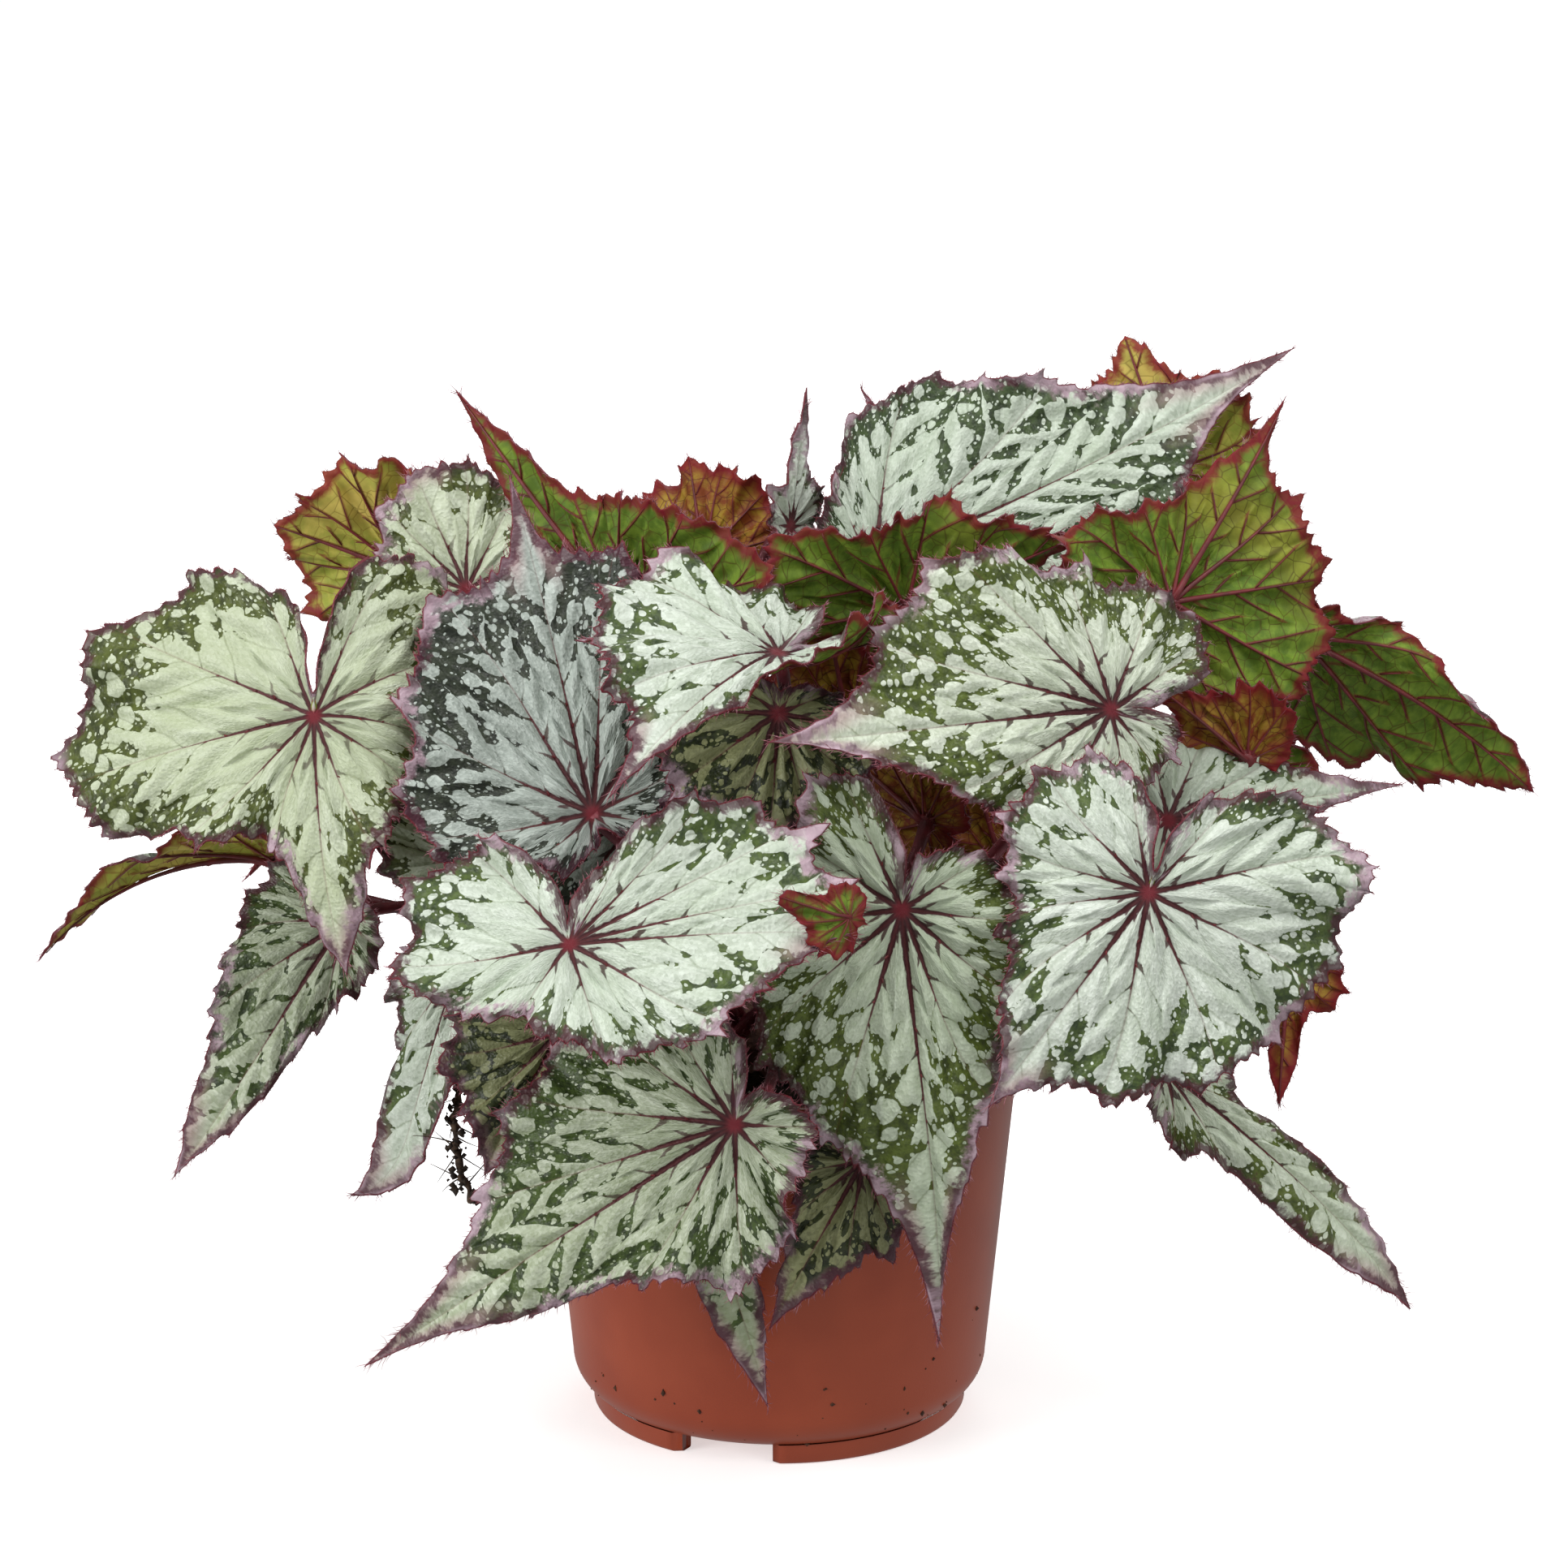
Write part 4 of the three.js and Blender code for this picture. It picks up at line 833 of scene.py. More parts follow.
    def vein_angle(self, angle: np.ndarray) -> np.ndarray:
        """Finds the main vein whose sector each point is in.

        Args:
            angle: Degrees from the tip, positive to the left.

        Returns:
            The veins' own angles in degrees.
        """
        span = self.surface.spans(angle)
        sector = np.searchsorted(SECTOR_TURNS, np.abs(angle) / span * 180)
        return np.sign(angle) * np.array(VEIN_TURNS, float)[sector] * span / 180

    def vein_places(self, aside: np.ndarray, ahead: np.ndarray) -> np.ndarray:
        """Numbers the side veins.

        Args:
            aside: Distance from the main vein, positive to the left.
            ahead: Distance from the stalk along the main vein.

        Returns:
            A whole number at each side vein, and a half in the middle of a panel.
        """
        detail = self.detail
        leaning = ahead - detail.vein_lean * np.abs(aside) - detail.vein_curve * aside**2
        return leaning / detail.vein_spacing + np.where(aside > 0, detail.vein_stagger, 0.0)

    def relief(self, aside: np.ndarray, place: np.ndarray, radius: np.ndarray,
               share: np.ndarray) -> np.ndarray:
        """Gives the height of the quilting.

        Args:
            aside: Distance from the main vein.
            place: Number along the side veins.
            radius: Distance from the stalk.
            share: The same as a share of the distance to the margin.

        Returns:
            Millimetres above the smooth blade.
        """
        detail = self.detail
        across = np.abs(place - np.round(place)) * VEIN_GAP
        near = np.minimum(across, np.abs(aside))
        swell = 1 - np.exp(-((near / detail.quilt_width) ** 2))
        quilt = detail.quilt * swell * (1 - detail.quilt_fade * share)
        groove = detail.groove * np.exp(-((aside / detail.groove_width) ** 2)) * (1 - share)
        dimple = detail.dimple * np.exp(-((radius / detail.dimple_width) ** 2))
        return (quilt - groove) * np.clip(radius / detail.relief_start, 0, 1) - dimple

    def ruffles(self, angle: np.ndarray, share: np.ndarray) -> np.ndarray:
        """Gives the height of the small waves that grow towards the margin.

        Args:
            angle: Degrees, before the veins' bow.
            share: Distance from the stalk as a share of the distance to the margin.

        Returns:
            Millimetres above the smooth blade.
        """
        turn = np.radians(angle)
        folds = sum(height * np.sin(count * turn + lead * self.seed) for height, count, lead in RUFFLES)
        calm = self.surface.calm(angle, np.interp(angle, self.angles, self.reach))
        return self.detail.ruffle * folds * share**self.detail.ruffle_growth * calm

    def grid(self) -> dict[str, Any]:
        """Works out the grid's points and what the finishes need to know at each face corner.

        Returns:
            Arrays with rows from the stalk outwards and columns round the blade. Under edges are, for the
            right and the left end of each face, the distance from the main vein, the number along the side
            veins and the distance along the main vein.
        """
        share = (np.arange(1, self.rows + 1) / self.rows)[:, None]
        angle = np.broadcast_to(self.angles, (self.rows, len(self.angles)))
        share = np.broadcast_to(share, angle.shape)
        radius = share * self.reach
        base = self.surface.place(self.warp(angle, share), radius, np.broadcast_to(self.reach, angle.shape))
        normal = unit(np.cross(np.gradient(base, axis=0), np.gradient(base, axis=1)))
        normal[:, 0] = normal[:, -1] = unit(normal[:, 0] + normal[:, -1])
        middle = (self.angles[1:] + self.angles[:-1]) / 2
        vein = self.vein_angle(middle)
        edges, heights = [], []
        for end in self.ENDS:
            off = np.radians(angle[:, end] - vein)
            aside, ahead = radius[:, end] * np.sin(off), radius[:, end] * np.cos(off)
            inner = np.radians(angle[:, end] * 0.5 + middle * 0.5 - vein)
            clear = np.where(np.abs(aside) < 1e-3, 1e-3 * np.sign(inner), aside)
            place = self.vein_places(clear, ahead)
            edges.append((aside, place, ahead))
            heights.append(self.relief(aside, place, radius[:, end], share[:, end]))
        height = np.empty(angle.shape)
        height[:, 1:-1] = (heights[0][:, 1:] + heights[1][:, :-1]) / 2
        height[:, 0] = height[:, -1] = (heights[0][:, 0] + heights[1][:, -1]) / 2
        height += self.ruffles(angle, share)
        return {"angle": angle, "share": share, "radius": radius, "base": base, "normal": normal,
                "height": height, "edges": edges}

    def margin_distance(self, grid: dict[str, Any]) -> np.ndarray:
        """Measures how far each grid point is from the margin on the flat blade.

        Args:
            grid: The blade's grid.

        Returns:
            Millimetres, and the blade's whole reach far in from the margin.
        """
        turn = np.radians(self.angles)
        margin = np.stack([self.reach * np.cos(turn), self.reach * np.sin(turn)], axis=-1)
        tree = KDTree(len(margin))
        for i, (x, y) in enumerate(margin):
            tree.insert((x, y, 0), i)
        tree.balance()
        radius, angle = grid["radius"], np.radians(grid["angle"])
        flat = np.stack([radius * np.cos(angle), radius * np.sin(angle)], axis=-1).reshape(-1, 2)
        away = self.reach.max()
        found = [tree.find((x, y, 0))[2] if gap < self.detail.margin_reach else away
                 for (x, y), gap in zip(flat, (self.reach - radius).reshape(-1))]
        return np.array(found).reshape(radius.shape)

    def add_faces(self, stock: MeshStock, grid: dict[str, Any]) -> None:
        """Adds the upper face, the underside and the rim.

        Args:
            stock: What gets them.
            grid: The blade's grid.
        """
        rows, columns = grid["radius"].shape
        count = columns - 1
        fields = self.corner_fields(grid)
        centre_normal = unit(grid["normal"][0, :-1].mean(axis=0))
        j = np.arange(count)
        after = (j + 1) % count
        quads = 1 + sheet_faces(rows, count)[:, TURNED]
        fan = np.stack([np.zeros(count, int), 1 + j, 1 + after], axis=-1)
        quad_fields, fan_fields = {}, {}
        for name, (left, right) in fields.items():
            corners = [left[:-1], left[1:], right[1:], right[:-1]]
            quad_fields[name] = np.stack(corners, axis=2).reshape(-1, 4, 3)
            middle = (left[0] + right[0]) / 2 * CENTRE_FIELDS[name]
            fan_fields[name] = np.stack([middle, left[0], right[0]], axis=1)
        starts = []
        for slot, side, order in ((self.UPPER, 0.5, 1), (self.UNDER, -0.5, -1)):
            lift = grid["height"] + side * self.detail.thickness
            points = grid["base"][:, :-1] + grid["normal"][:, :-1] * lift[:, :-1, None]
            dimple = side * self.detail.thickness - self.detail.dimple
            centre = self.surface.centre() + centre_normal * dimple
            start = stock.add(np.concatenate([centre[None], points.reshape(-1, 3)]), quads[:, ::order], slot,
                              **{name: field[:, ::order] for name, field in quad_fields.items()})
            stock.add_faces(start, fan[:, ::order], slot,
                            **{name: field[:, ::order] for name, field in fan_fields.items()})
            starts.append(start + 1 + (rows - 1) * count)
        upper, under = starts
        rim = np.stack([upper + j, under + j, under + after, upper + after], axis=-1)
        rim_fields = {}
        for name, (left, right) in fields.items():
            rim_fields[name] = np.stack([left[-1], left[-1], right[-1], right[-1]], axis=1)
        stock.add_faces(0, rim, self.UPPER, **rim_fields)

    def corner_fields(self, grid: dict[str, Any]) -> dict[str, list[np.ndarray]]:
        """Gathers what the finishes read, at the right and the left end of each face.

        Args:
            grid: The blade's grid.

        Returns:
            For each attribute, a pair of arrays.
        """
        away = self.margin_distance(grid)
        # Millimetres for a radian, so that the pattern is drawn to scale in the outer blade.
        wide = self.detail.pattern_ring * float(np.mean(self.plain))
        tooth = grid["radius"] - self.plain * (1 - self.surface.tooth)
        fields: dict[str, list[np.ndarray]] = {name: [] for name in CENTRE_FIELDS}
        for end, (aside, place, ahead) in zip(self.ENDS, grid["edges"]):
            arc = np.radians(grid["angle"][:, end]) * wide
            seed = np.full(arc.shape, self.seed)
            rows = ((arc, grid["radius"][:, end], grid["share"][:, end]), (away[:, end], tooth[:, end], seed),
                    (aside, place, ahead))
            for field, row in zip(fields.values(), rows):
                field.append(np.stack(row, axis=-1))
        return fields

    def under_line(self, angle: np.ndarray, radius: np.ndarray, sink: np.ndarray) -> np.ndarray:
        """Finds points under the blade.

        Args:
            angle: Degrees, before the veins' bow.
            radius: Distance from the stalk.
            sink: How far below the middle surface each point lies.

        Returns:
            Rows of x, y and z.
        """
        reach = np.interp(angle, self.angles, self.plain)
        share = np.clip(radius / reach, 0, 1)
        here = self.surface.place(self.warp(angle, share), radius, reach)
        ahead = self.surface.place(self.warp(angle, share), radius + 0.5, reach)
        aside = self.surface.place(self.warp(angle + 1, share), radius + 0.01, reach)
        normal = unit(np.cross(ahead - here, aside - here))
        return here - normal * (sink - self.ruffles(angle, share))[:, None]

    def add_veins(self, stock: MeshStock) -> None:
        """Adds the main and side veins that stand out from the underside.

        Args:
            stock: What gets them.
        """
        detail = self.detail
        for turn, way in [(t, w) for t in VEIN_TURNS[:-1] for w in (1, -1) if t or w > 0]:
            span = self.form.cleft if way > 0 else 360 - self.form.cleft
            vein = way * turn * span / 180
            reach = float(np.interp(vein, self.angles, self.plain))
            full = 0.93 if turn else 0.97
            shares = np.linspace(0, full, max(6, math.ceil(reach / 4)))
            strength = min(1, reach / detail.vein_reach)
            radii = strength * detail.main_vein * (1 - 0.85 * shares / full) * (1.25 if turn == 0 else 1)
            dimple = detail.dimple * np.exp(-((shares * reach / detail.dimple_width) ** 2))
            sink = detail.groove * (1 - shares) + dimple + radii + detail.vein_sink
            line = self.under_line(np.full(len(shares), vein), shares * reach, sink)
            add_tube(stock, line, radii, 6, self.VEIN)
            low = max((b for b in (-10, *SECTOR_TURNS) if b < turn), default=-10)
            high = min((b for b in (*SECTOR_TURNS, 180) if b > turn), default=180)
            for side in (1, -1):
                limit = (high if side == way or turn == 0 else low) * span / 180
                width = abs(limit - abs(vein)) if turn else 10 * span / 180
                self.add_side_veins(stock, vein, side, reach, width)

    def add_side_veins(self, stock: MeshStock, vein: float, side: int, reach: float, width: float) -> None:
        """Adds the side veins on one side of a main vein.

        Args:
            stock: What gets them.
            vein: The main vein's angle in degrees.
            side: 1 for the left side, -1 for the right.
            reach: The main vein's length.
            width: Degrees from the main vein to its sector's edge.
        """
        detail = self.detail
        offset = detail.vein_stagger if side > 0 else 0.0
        first = math.ceil(offset + 0.6)
        for place in range(first, first + int(reach / detail.vein_spacing)):
            foot = (place - offset) * detail.vein_spacing
            if foot < 5 or foot > reach * 0.9:
                continue
            aside = np.linspace(0, reach, 40)
            ahead = foot + detail.vein_lean * aside + detail.vein_curve * aside**2
            radius = np.hypot(aside, ahead)
            angle = vein + side * np.degrees(np.arctan2(aside, ahead))
            limit = np.interp(angle, self.angles, self.plain) * 0.94
            inside = (np.abs(angle - vein) <= width) & (radius < limit)
            keep = int(np.argmin(inside)) if not inside.all() else len(inside)
            if keep < 3:
                continue
            thin = 1 - 0.6 * np.arange(keep) / keep
            strength = min(1, reach / detail.vein_reach)
            radii = detail.side_vein * strength * thin * (1 - 0.4 * foot / reach)
            line = self.under_line(angle[:keep], radius[:keep], radii + 0.4)
            add_tube(stock, line, radii, 5, self.VEIN)

    def add_margin_hairs(self, stock: MeshStock, grid: dict[str, Any]) -> None:
        """Adds the short pale hairs along the margin and the longer ones on the drip tip.

        Args:
            stock: What gets them.
            grid: The blade's grid.
        """
        detail, rng = self.detail, self.rng
        edge, normal = grid["base"][-1], grid["normal"][-1]
        outward = unit(edge - grid["base"][-3])
        along = run_length(edge)
        count = int(along[-1] / detail.hair_spacing)
        at = rng.uniform(0, along[-1], count)
        height = np.interp(at, along, grid["height"][-1])[:, None]
        way = read_rows(outward, along, at)
        roots = read_rows(edge, along, at) + read_rows(normal, along, at) * height - way * 0.2
        ways = unit(way + rng.normal(0, 0.45, (count, 3)))
        angle = np.interp(at, along, self.angles)
        lengths = rng.uniform(*detail.hair_lengths, count) * (1 + np.exp(-np.abs(angle) / 6))
        bends = rng.normal(0, 0.25, (count, 3))
        add_hairs(stock, roots, ways, lengths, detail.hair_radius, bends, self.HAIR)

    def add_knuckle(self, stock: MeshStock, grid: dict[str, Any]) -> None:
        """Adds the swelling where the stalk passes into the blade.

        Args:
            stock: What gets it.
            grid: The blade's grid.
        """
        normal = unit(grid["normal"][0].mean(axis=0))
        depths = np.array([3.6, 3.0, 2.4, 1.8, 1.4])
        radii = np.array([2.1, 2.2, 2.5, 3.0, 2.6])
        add_tube(stock, self.surface.centre() - depths[:, None] * normal, radii, 10, self.VEIN)

    def add_young_stalk(self, stock: MeshStock) -> None:
        """Adds the thin stalk of a young leaf, which bends down into the crown.

        Args:
            stock: What gets it.
        """
        top = np.array(self.form.at, float) - 1.5 * unit(np.array(self.form.face, float))
        foot = np.array([top[0] * 0.5, top[1] * 0.5, YOUNG_FOOT])
        share = np.linspace(0, 1, 12)[:, None]
        bend = np.array([0, 1, 0]) * 10 * np.sin(np.pi * share)
        add_tube(stock, foot + (top - foot) * share + bend, np.linspace(1.9, 1.5, 12), 8, self.VEIN)

    def build(self, finishes: dict[str, bpy.types.Material]) -> bpy.types.Object:
        """Makes the leaf's piece.

        Args:
            finishes: The materials by look for the upper face, and the under, vein and hair ones.

        Returns:
            The leaf blade, ready dressed.
        """
        stock = MeshStock.empty(*CENTRE_FIELDS)
        grid = self.grid()
        self.add_faces(stock, grid)
        self.add_veins(stock)
        self.add_margin_hairs(stock, grid)
        if not self.form.folded:
            self.add_knuckle(stock, grid)
        if not self.nodes and not self.form.folded:
            self.add_young_stalk(stock)
        names = (self.form.look.value, self.form.under.value, "vein", "hair")
        piece = stock.piece(f"blade_{self.form.name}", [finishes[name] for name in names])
        finish_piece(piece, "leaf_blade", *self.nodes)
        return piece


# ---- finishes ----

# How often a pattern repeats in each millimetre of a blade. The grain is the silver's air cells, which are
# drawn about three times their real width so that they show; they dent the relief and carry painted glints.
BROAD = 0.055
WARP = 0.35
FINE = 0.5
STREAK = 0.55
CREASE = 0.9
GRAIN = 1.7
SEED_SHIFT = 470.0  # moves each leaf to a place of its own in the noises

# The silver spots in the green, as cells for each millimetre, size where the green starts, how fast they
# shrink towards the margin, and how much they vary.
SPOTS = ((0.16, 0.40, 0.40, 0.5), (0.31, 0.27, 0.22, 0.8), (0.65, 0.23, 0.14, 0.9))


def paint(material: bpy.types.Material, ground: Any, *layers: tuple[Any, Any]) -> Any:
    """Lays colours over one another.

    Args:
        material: The material that gets the nodes.
        ground: The lowest colour, as hex or as a socket.
        *layers: From below, where each layer shows, from 0 to 1, and its colour.

    Returns:
        The colour of the whole, as a socket.
    """
    for mask, colour in layers:
        under, over = (linear(c) if isinstance(c, str) else c for c in (ground, colour))
        ground = add(material, "ShaderNodeMix", {0: mask, 6: under, 7: over}, output=2, data_type="RGBA")
    return ground


class BladeCanvas:
    """A leaf material in the making, with what the mesh says at each point of the blade as sockets."""

    def __init__(self, name: str) -> None:
        """Starts the material and reads the blade's own coordinates.

        Args:
            name: What the real material is and how it was made.
        """
        self.material = new_material(name)
        self.node = partial(add, self.material)
        self.calc = partial(self.node, "ShaderNodeMath")
        # Of a ramp's four numbers, two say where it starts and ends, and two what it gives there.
        self.ramp = partial(self.node, "ShaderNodeMapRange", interpolation_type="SMOOTHSTEP")
        self.paint = partial(paint, self.material)
        self.arc, self.radius, self.share = self.read("leaf_polar")
        self.edge, self.tooth, seed = self.read("leaf_edge")
        self.aside, self.place, _ = self.read("leaf_vein")
        self.seed = seed
        self.shift = self.calc((seed, SEED_SHIFT), operation="MULTIPLY")

    def read(self, name: str) -> list[Any]:
        """Reads a vector that the mesh keeps at its face corners, as its three numbers."""
        vector = self.node("ShaderNodeAttribute", output="Vector", attribute_name=name)
        return self.node("ShaderNodeSeparateXYZ", (vector,)).node.outputs[:]

    def from_side_vein(self, place: Any) -> Any:
        """Measures how far a point is from the nearest side vein.

        Args:
            place: The point's number along the side veins.

        Returns:
            Millimetres, as a socket.
        """
        whole = self.calc((self.calc((place,), operation="ROUND"), -1.0), operation="MULTIPLY")
        off = self.calc((self.calc((place, whole), operation="ADD"),), operation="ABSOLUTE")
        return self.calc((off, VEIN_GAP), operation="MULTIPLY")

    def close(self, tone: Any, height: Any, bump: float, roughness: float,
              gloss: float) -> bpy.types.Material:
        """Puts the colour and the relief on the leaf's shader.

        Args:
            tone: The colour.
            height: The relief in millimetres.
            bump: How strongly the relief shows.
            roughness: The shader's roughness.
            gloss: How bright its highlights are, 0.5 being that of plastic.

        Returns:
            The finished material.
        """
        relief = self.node("ShaderNodeBump", {"Strength": bump, "Distance": MM, "Height": height})
        shader = self.node("ShaderNodeBsdfPrincipled", {"Base Color": tone, "Roughness": roughness,
                           "Normal": relief, "Specular IOR Level": gloss})
        self.node("ShaderNodeOutputMaterial", (shader,))
        return self.material


@dataclass(frozen=True)
class UpperFace:
    """The blade's upper face, waxy and hairless: air under its skin makes it a soft satin silver, and where
    there is none it is a deep matt green."""

    name: str
    silver_reach: float  # share of the radius that is all silver
    silver: str
    # The colour of the painted glints and sheen on the silver.
    bright: str
    green: str
    deep: str
    fingers: float = 0.13  # how much sooner the green starts along the side veins, as a share of the radius
    spikes: float = 0.9  # how strongly the burgundy shows along the side veins
    vein_width: float = 1.0  # half of a main vein's dark band at the stalk, in millimetres
    vein: str = "#4A2428"
    midrib: str = "#713A3A"
    feather: str = "#38301F"
    margin: str = "#4C1D30"
    tip: str = "#C6ACB8"
    tinge: str = "#A9BC98"
    junction: str = "#8E2F3A"
    outline: str = "#6E1F2C"
    blush: str = "#A98A8C"

    def material(self) -> bpy.types.Material:
        """Draws the silver, its spots, the burgundy veins and the stained margin.

        Returns:
            The material, in the blade's own coordinates.
        """
        blade = BladeCanvas(self.name)
        node, calc = blade.node, blade.calc
        long = calc((blade.radius, 0.62), operation="MULTIPLY")
        moved = calc((blade.arc, blade.shift), operation="ADD")
        where = node("ShaderNodeCombineXYZ", (moved, long, blade.shift))
        broad = node("ShaderNodeTexNoise", {"Vector": where, "Scale": BROAD, "Detail": 2.0, "Roughness": 0.6})
        fine = node("ShaderNodeTexNoise", {"Vector": where, "Scale": FINE, "Detail": 3.0, "Roughness": 0.65})
        grain = node("ShaderNodeTexVoronoi", {"Vector": where, "Scale": GRAIN}, output="Color")
        drawn = calc((blade.radius, 0.12), operation="MULTIPLY")
        drawn = node("ShaderNodeCombineXYZ", (blade.arc, drawn, blade.shift))
        streak = node("ShaderNodeTexNoise", {"Vector": drawn, "Scale": STREAK, "Detail": 3.0,
                      "Roughness": 0.6})
        wavy = calc((broad, 0.7, -0.35), operation="MULTIPLY_ADD")
        place = calc((blade.place, wavy), operation="ADD")
        place = calc((place, calc((fine, 0.1), operation="MULTIPLY")), operation="ADD")
        across = blade.from_side_vein(place)
        beside = calc((blade.aside,), operation="ABSOLUTE")
        middle = calc((blade.arc,), operation="ABSOLUTE")
        silver = self.silver_share(blade, where, broad, fine, across, beside, middle)
        ground = self.ground(blade, silver, broad, fine, across, grain, streak)
        veined = self.veined(blade, ground, broad, fine, across, beside, middle)
        tone = self.margined(blade, veined, broad, fine)
        dimple = calc((grain.node.outputs["Distance"], 0.26), operation="MULTIPLY")
        crease = node("ShaderNodeTexNoise", {"Vector": where, "Scale": CREASE, "Detail": 2.0})
        height = calc((dimple, calc((crease, 0.55), operation="MULTIPLY")), operation="ADD")
        height = calc((streak, 0.22, height), operation="MULTIPLY_ADD")
        return blade.close(tone, height, 0.7, 0.42, 0.35)

    def silver_share(self, blade: BladeCanvas, where: Any, broad: Any, fine: Any, across: Any, beside: Any,
                     middle: Any) -> Any:
        """Works out where it is silver: inwards, in ragged fingers between the side veins and in spots.

        Args:
            blade: The material in the making.
            where: The point that the noises are read at.
            broad: The broad noise.
            fine: The fine noise.
            across: Distance from the nearest side vein.
            beside: Distance from the main vein.
            middle: Distance from the midrib, along the margin.

        Returns:
            1 in the silver and 0 in the green, as a socket.
        """
        node, calc, ramp = blade.node, blade.calc, blade.ramp
        start = calc((broad, -0.7, 0.35 - self.silver_reach), operation="MULTIPLY_ADD")
        drip = calc((ramp((middle, 4.2, 1.0, 0.0, 1.0)), ramp((blade.share, 0.6, 0.85, 0.0, 0.5))),
                    operation="MULTIPLY")
        level = blade.share
        for step in (start, calc((fine, 0.24, -0.12), operation="MULTIPLY_ADD"),
                     calc((across, -self.fingers / 2, self.fingers), operation="MULTIPLY_ADD"),
                     ramp((beside, 0.0, 5.0, -0.12, 0.0))):
            level = calc((level, step), operation="ADD")
        # The drip tip keeps its silver along the middle.
        level = calc((level, drip), operation="SUBTRACT")
        warp = node("ShaderNodeTexNoise", {"Vector": where, "Scale": WARP, "Detail": 2.0}, output="Color")
        warp = node("ShaderNodeVectorMath", (warp, (1.6, 1.6, 1.6)), operation="MULTIPLY")
        warped = node("ShaderNodeVectorMath", (where, warp), operation="ADD")
        silver = ramp((level, 0.012, -0.012, 0.0, 1.0))
        for scale, base, fade, wobble in SPOTS:
            cells = node("ShaderNodeTexVoronoi", {"Vector": warped, "Scale": scale, "Randomness": 0.95},
                         output="Distance", voronoi_dimensions="2D")
            chance = node("ShaderNodeSeparateColor", (cells.node.outputs["Color"],))
            vary = calc((chance, wobble, 1 - wobble * 0.6), operation="MULTIPLY_ADD")
            size = calc((level, -fade, base), operation="MULTIPLY_ADD")
            size = calc((size, vary), operation="MULTIPLY")
            spot = ramp((calc((size, cells), operation="SUBTRACT"), 0.0, 0.035, 0.0, 1.0))
            silver = calc((silver, spot), operation="MAXIMUM")
        return silver

    def ground(self, blade: BladeCanvas, silver: Any, broad: Any, fine: Any, across: Any, grain: Any,
               streak: Any) -> Any:
        """Colours the silver, with painted glints on its grain and painted sheen along its streaks, and the
        green round it.

        Args:
            blade: The material in the making.
            silver: Where it is silver.
            broad: The broad noise.
            fine: The fine noise.
            across: Distance from the nearest side vein.
            grain: The grain's cells, which carry the painted glints.
            streak: The noise that is drawn out along the radius, which carries the painted sheen.

        Returns:
            The colour, as a socket.
        """
        node, calc, ramp = blade.node, blade.calc, blade.ramp
        # Painted highlight: glints on the grain's cells and sheen along the streaks lighten the silver.
        painted_glint = calc((node("ShaderNodeSeparateColor", (grain,)), 0.55), operation="MULTIPLY")
        bright = calc((painted_glint, ramp((streak, 0.36, 0.66, 0.15, 0.52))), operation="ADD")
        own = calc((blade.seed, 0.5), operation="MULTIPLY")
        tinge = calc((own, calc((broad, 0.6, -0.2), operation="MULTIPLY_ADD")), operation="ADD")
        hint = calc((ramp((across, 0.45, 0.1, 0.0, 0.3)), ramp((blade.share, 0.2, 0.6, 0.3, 1.0))),
                    operation="MULTIPLY")
        silver_tone = blade.paint(self.silver, (bright, self.bright), (tinge, self.tinge), (hint, self.green))
        green_tone = blade.paint(self.deep, (ramp((fine, 0.3, 0.7, 0.0, 1.0)), self.green))
        return blade.paint(green_tone, (silver, silver_tone))

    def veined(self, blade: BladeCanvas, ground: Any, broad: Any, fine: Any, across: Any, beside: Any,
               middle: Any) -> Any:
        """Draws the main veins, burgundy and feathering out in spikes along the side veins.

        Args:
            blade: The material in the making.
            ground: The colour under them.
            broad: The broad noise.
            fine: The fine noise.
            across: Distance from the nearest side vein.
            beside: Distance from the main vein.
            middle: Distance from the midrib, along the margin.

        Returns:
            The colour, as a socket.
        """
        calc, ramp, share = blade.calc, blade.ramp, blade.share
        width = ramp((share, 0.0, 0.62, self.vein_width, 0.0))
        ragged = calc((width, calc((fine, 1.6, 0.2), operation="MULTIPLY_ADD")), operation="MULTIPLY")
        main = ramp((calc((ragged, beside), operation="SUBTRACT"), -0.12, 0.18, 0.0, 1.0))
        vary = calc((broad, 3.6, -1.1), operation="MULTIPLY_ADD")
        spread = calc((ramp((share, 0.08, 0.6, 9.0, 3.0)), vary), operation="MULTIPLY")
        spread = calc((beside, calc((spread, 0.2), operation="MAXIMUM")), operation="DIVIDE")
        taper = ramp((spread, 0.0, 1.0, 1.0, -0.1))
        taper = calc((taper, ramp((share, 0.3, 0.68, 1.0, 0.0))), operation="MULTIPLY")
        taper = calc((taper, calc((fine, 1.8, -0.2), operation="MULTIPLY_ADD")), operation="MULTIPLY")
        feather = ramp((calc((taper, across), operation="SUBTRACT"), -0.1, 0.2, 0.0, self.spikes))
        feather_tone = blade.paint(self.vein, (ramp((share, 0.16, 0.5, 0.0, 1.0)), self.feather))
        midline = calc((ramp((beside, 0.5, 0.12, 0.0, 0.45)), ramp((share, 0.1, 0.95, 1.0, 0.3))),
                       operation="MULTIPLY")
        spot = calc((blade.radius, calc((fine, 2.5), operation="MULTIPLY")), operation="ADD")
        blush = calc((ramp((share, 0.8, 0.97, 0.0, 0.75)), ramp((middle, 6.0, 2.0, 0.0, 1.0))),
                     operation="MULTIPLY")
        return blade.paint(ground, (feather, feather_tone), (main, self.vein), (midline, self.midrib),
                           (ramp((spot, 2.2, 4.6, 0.8, 0.0)), self.junction), (blush, self.blush))

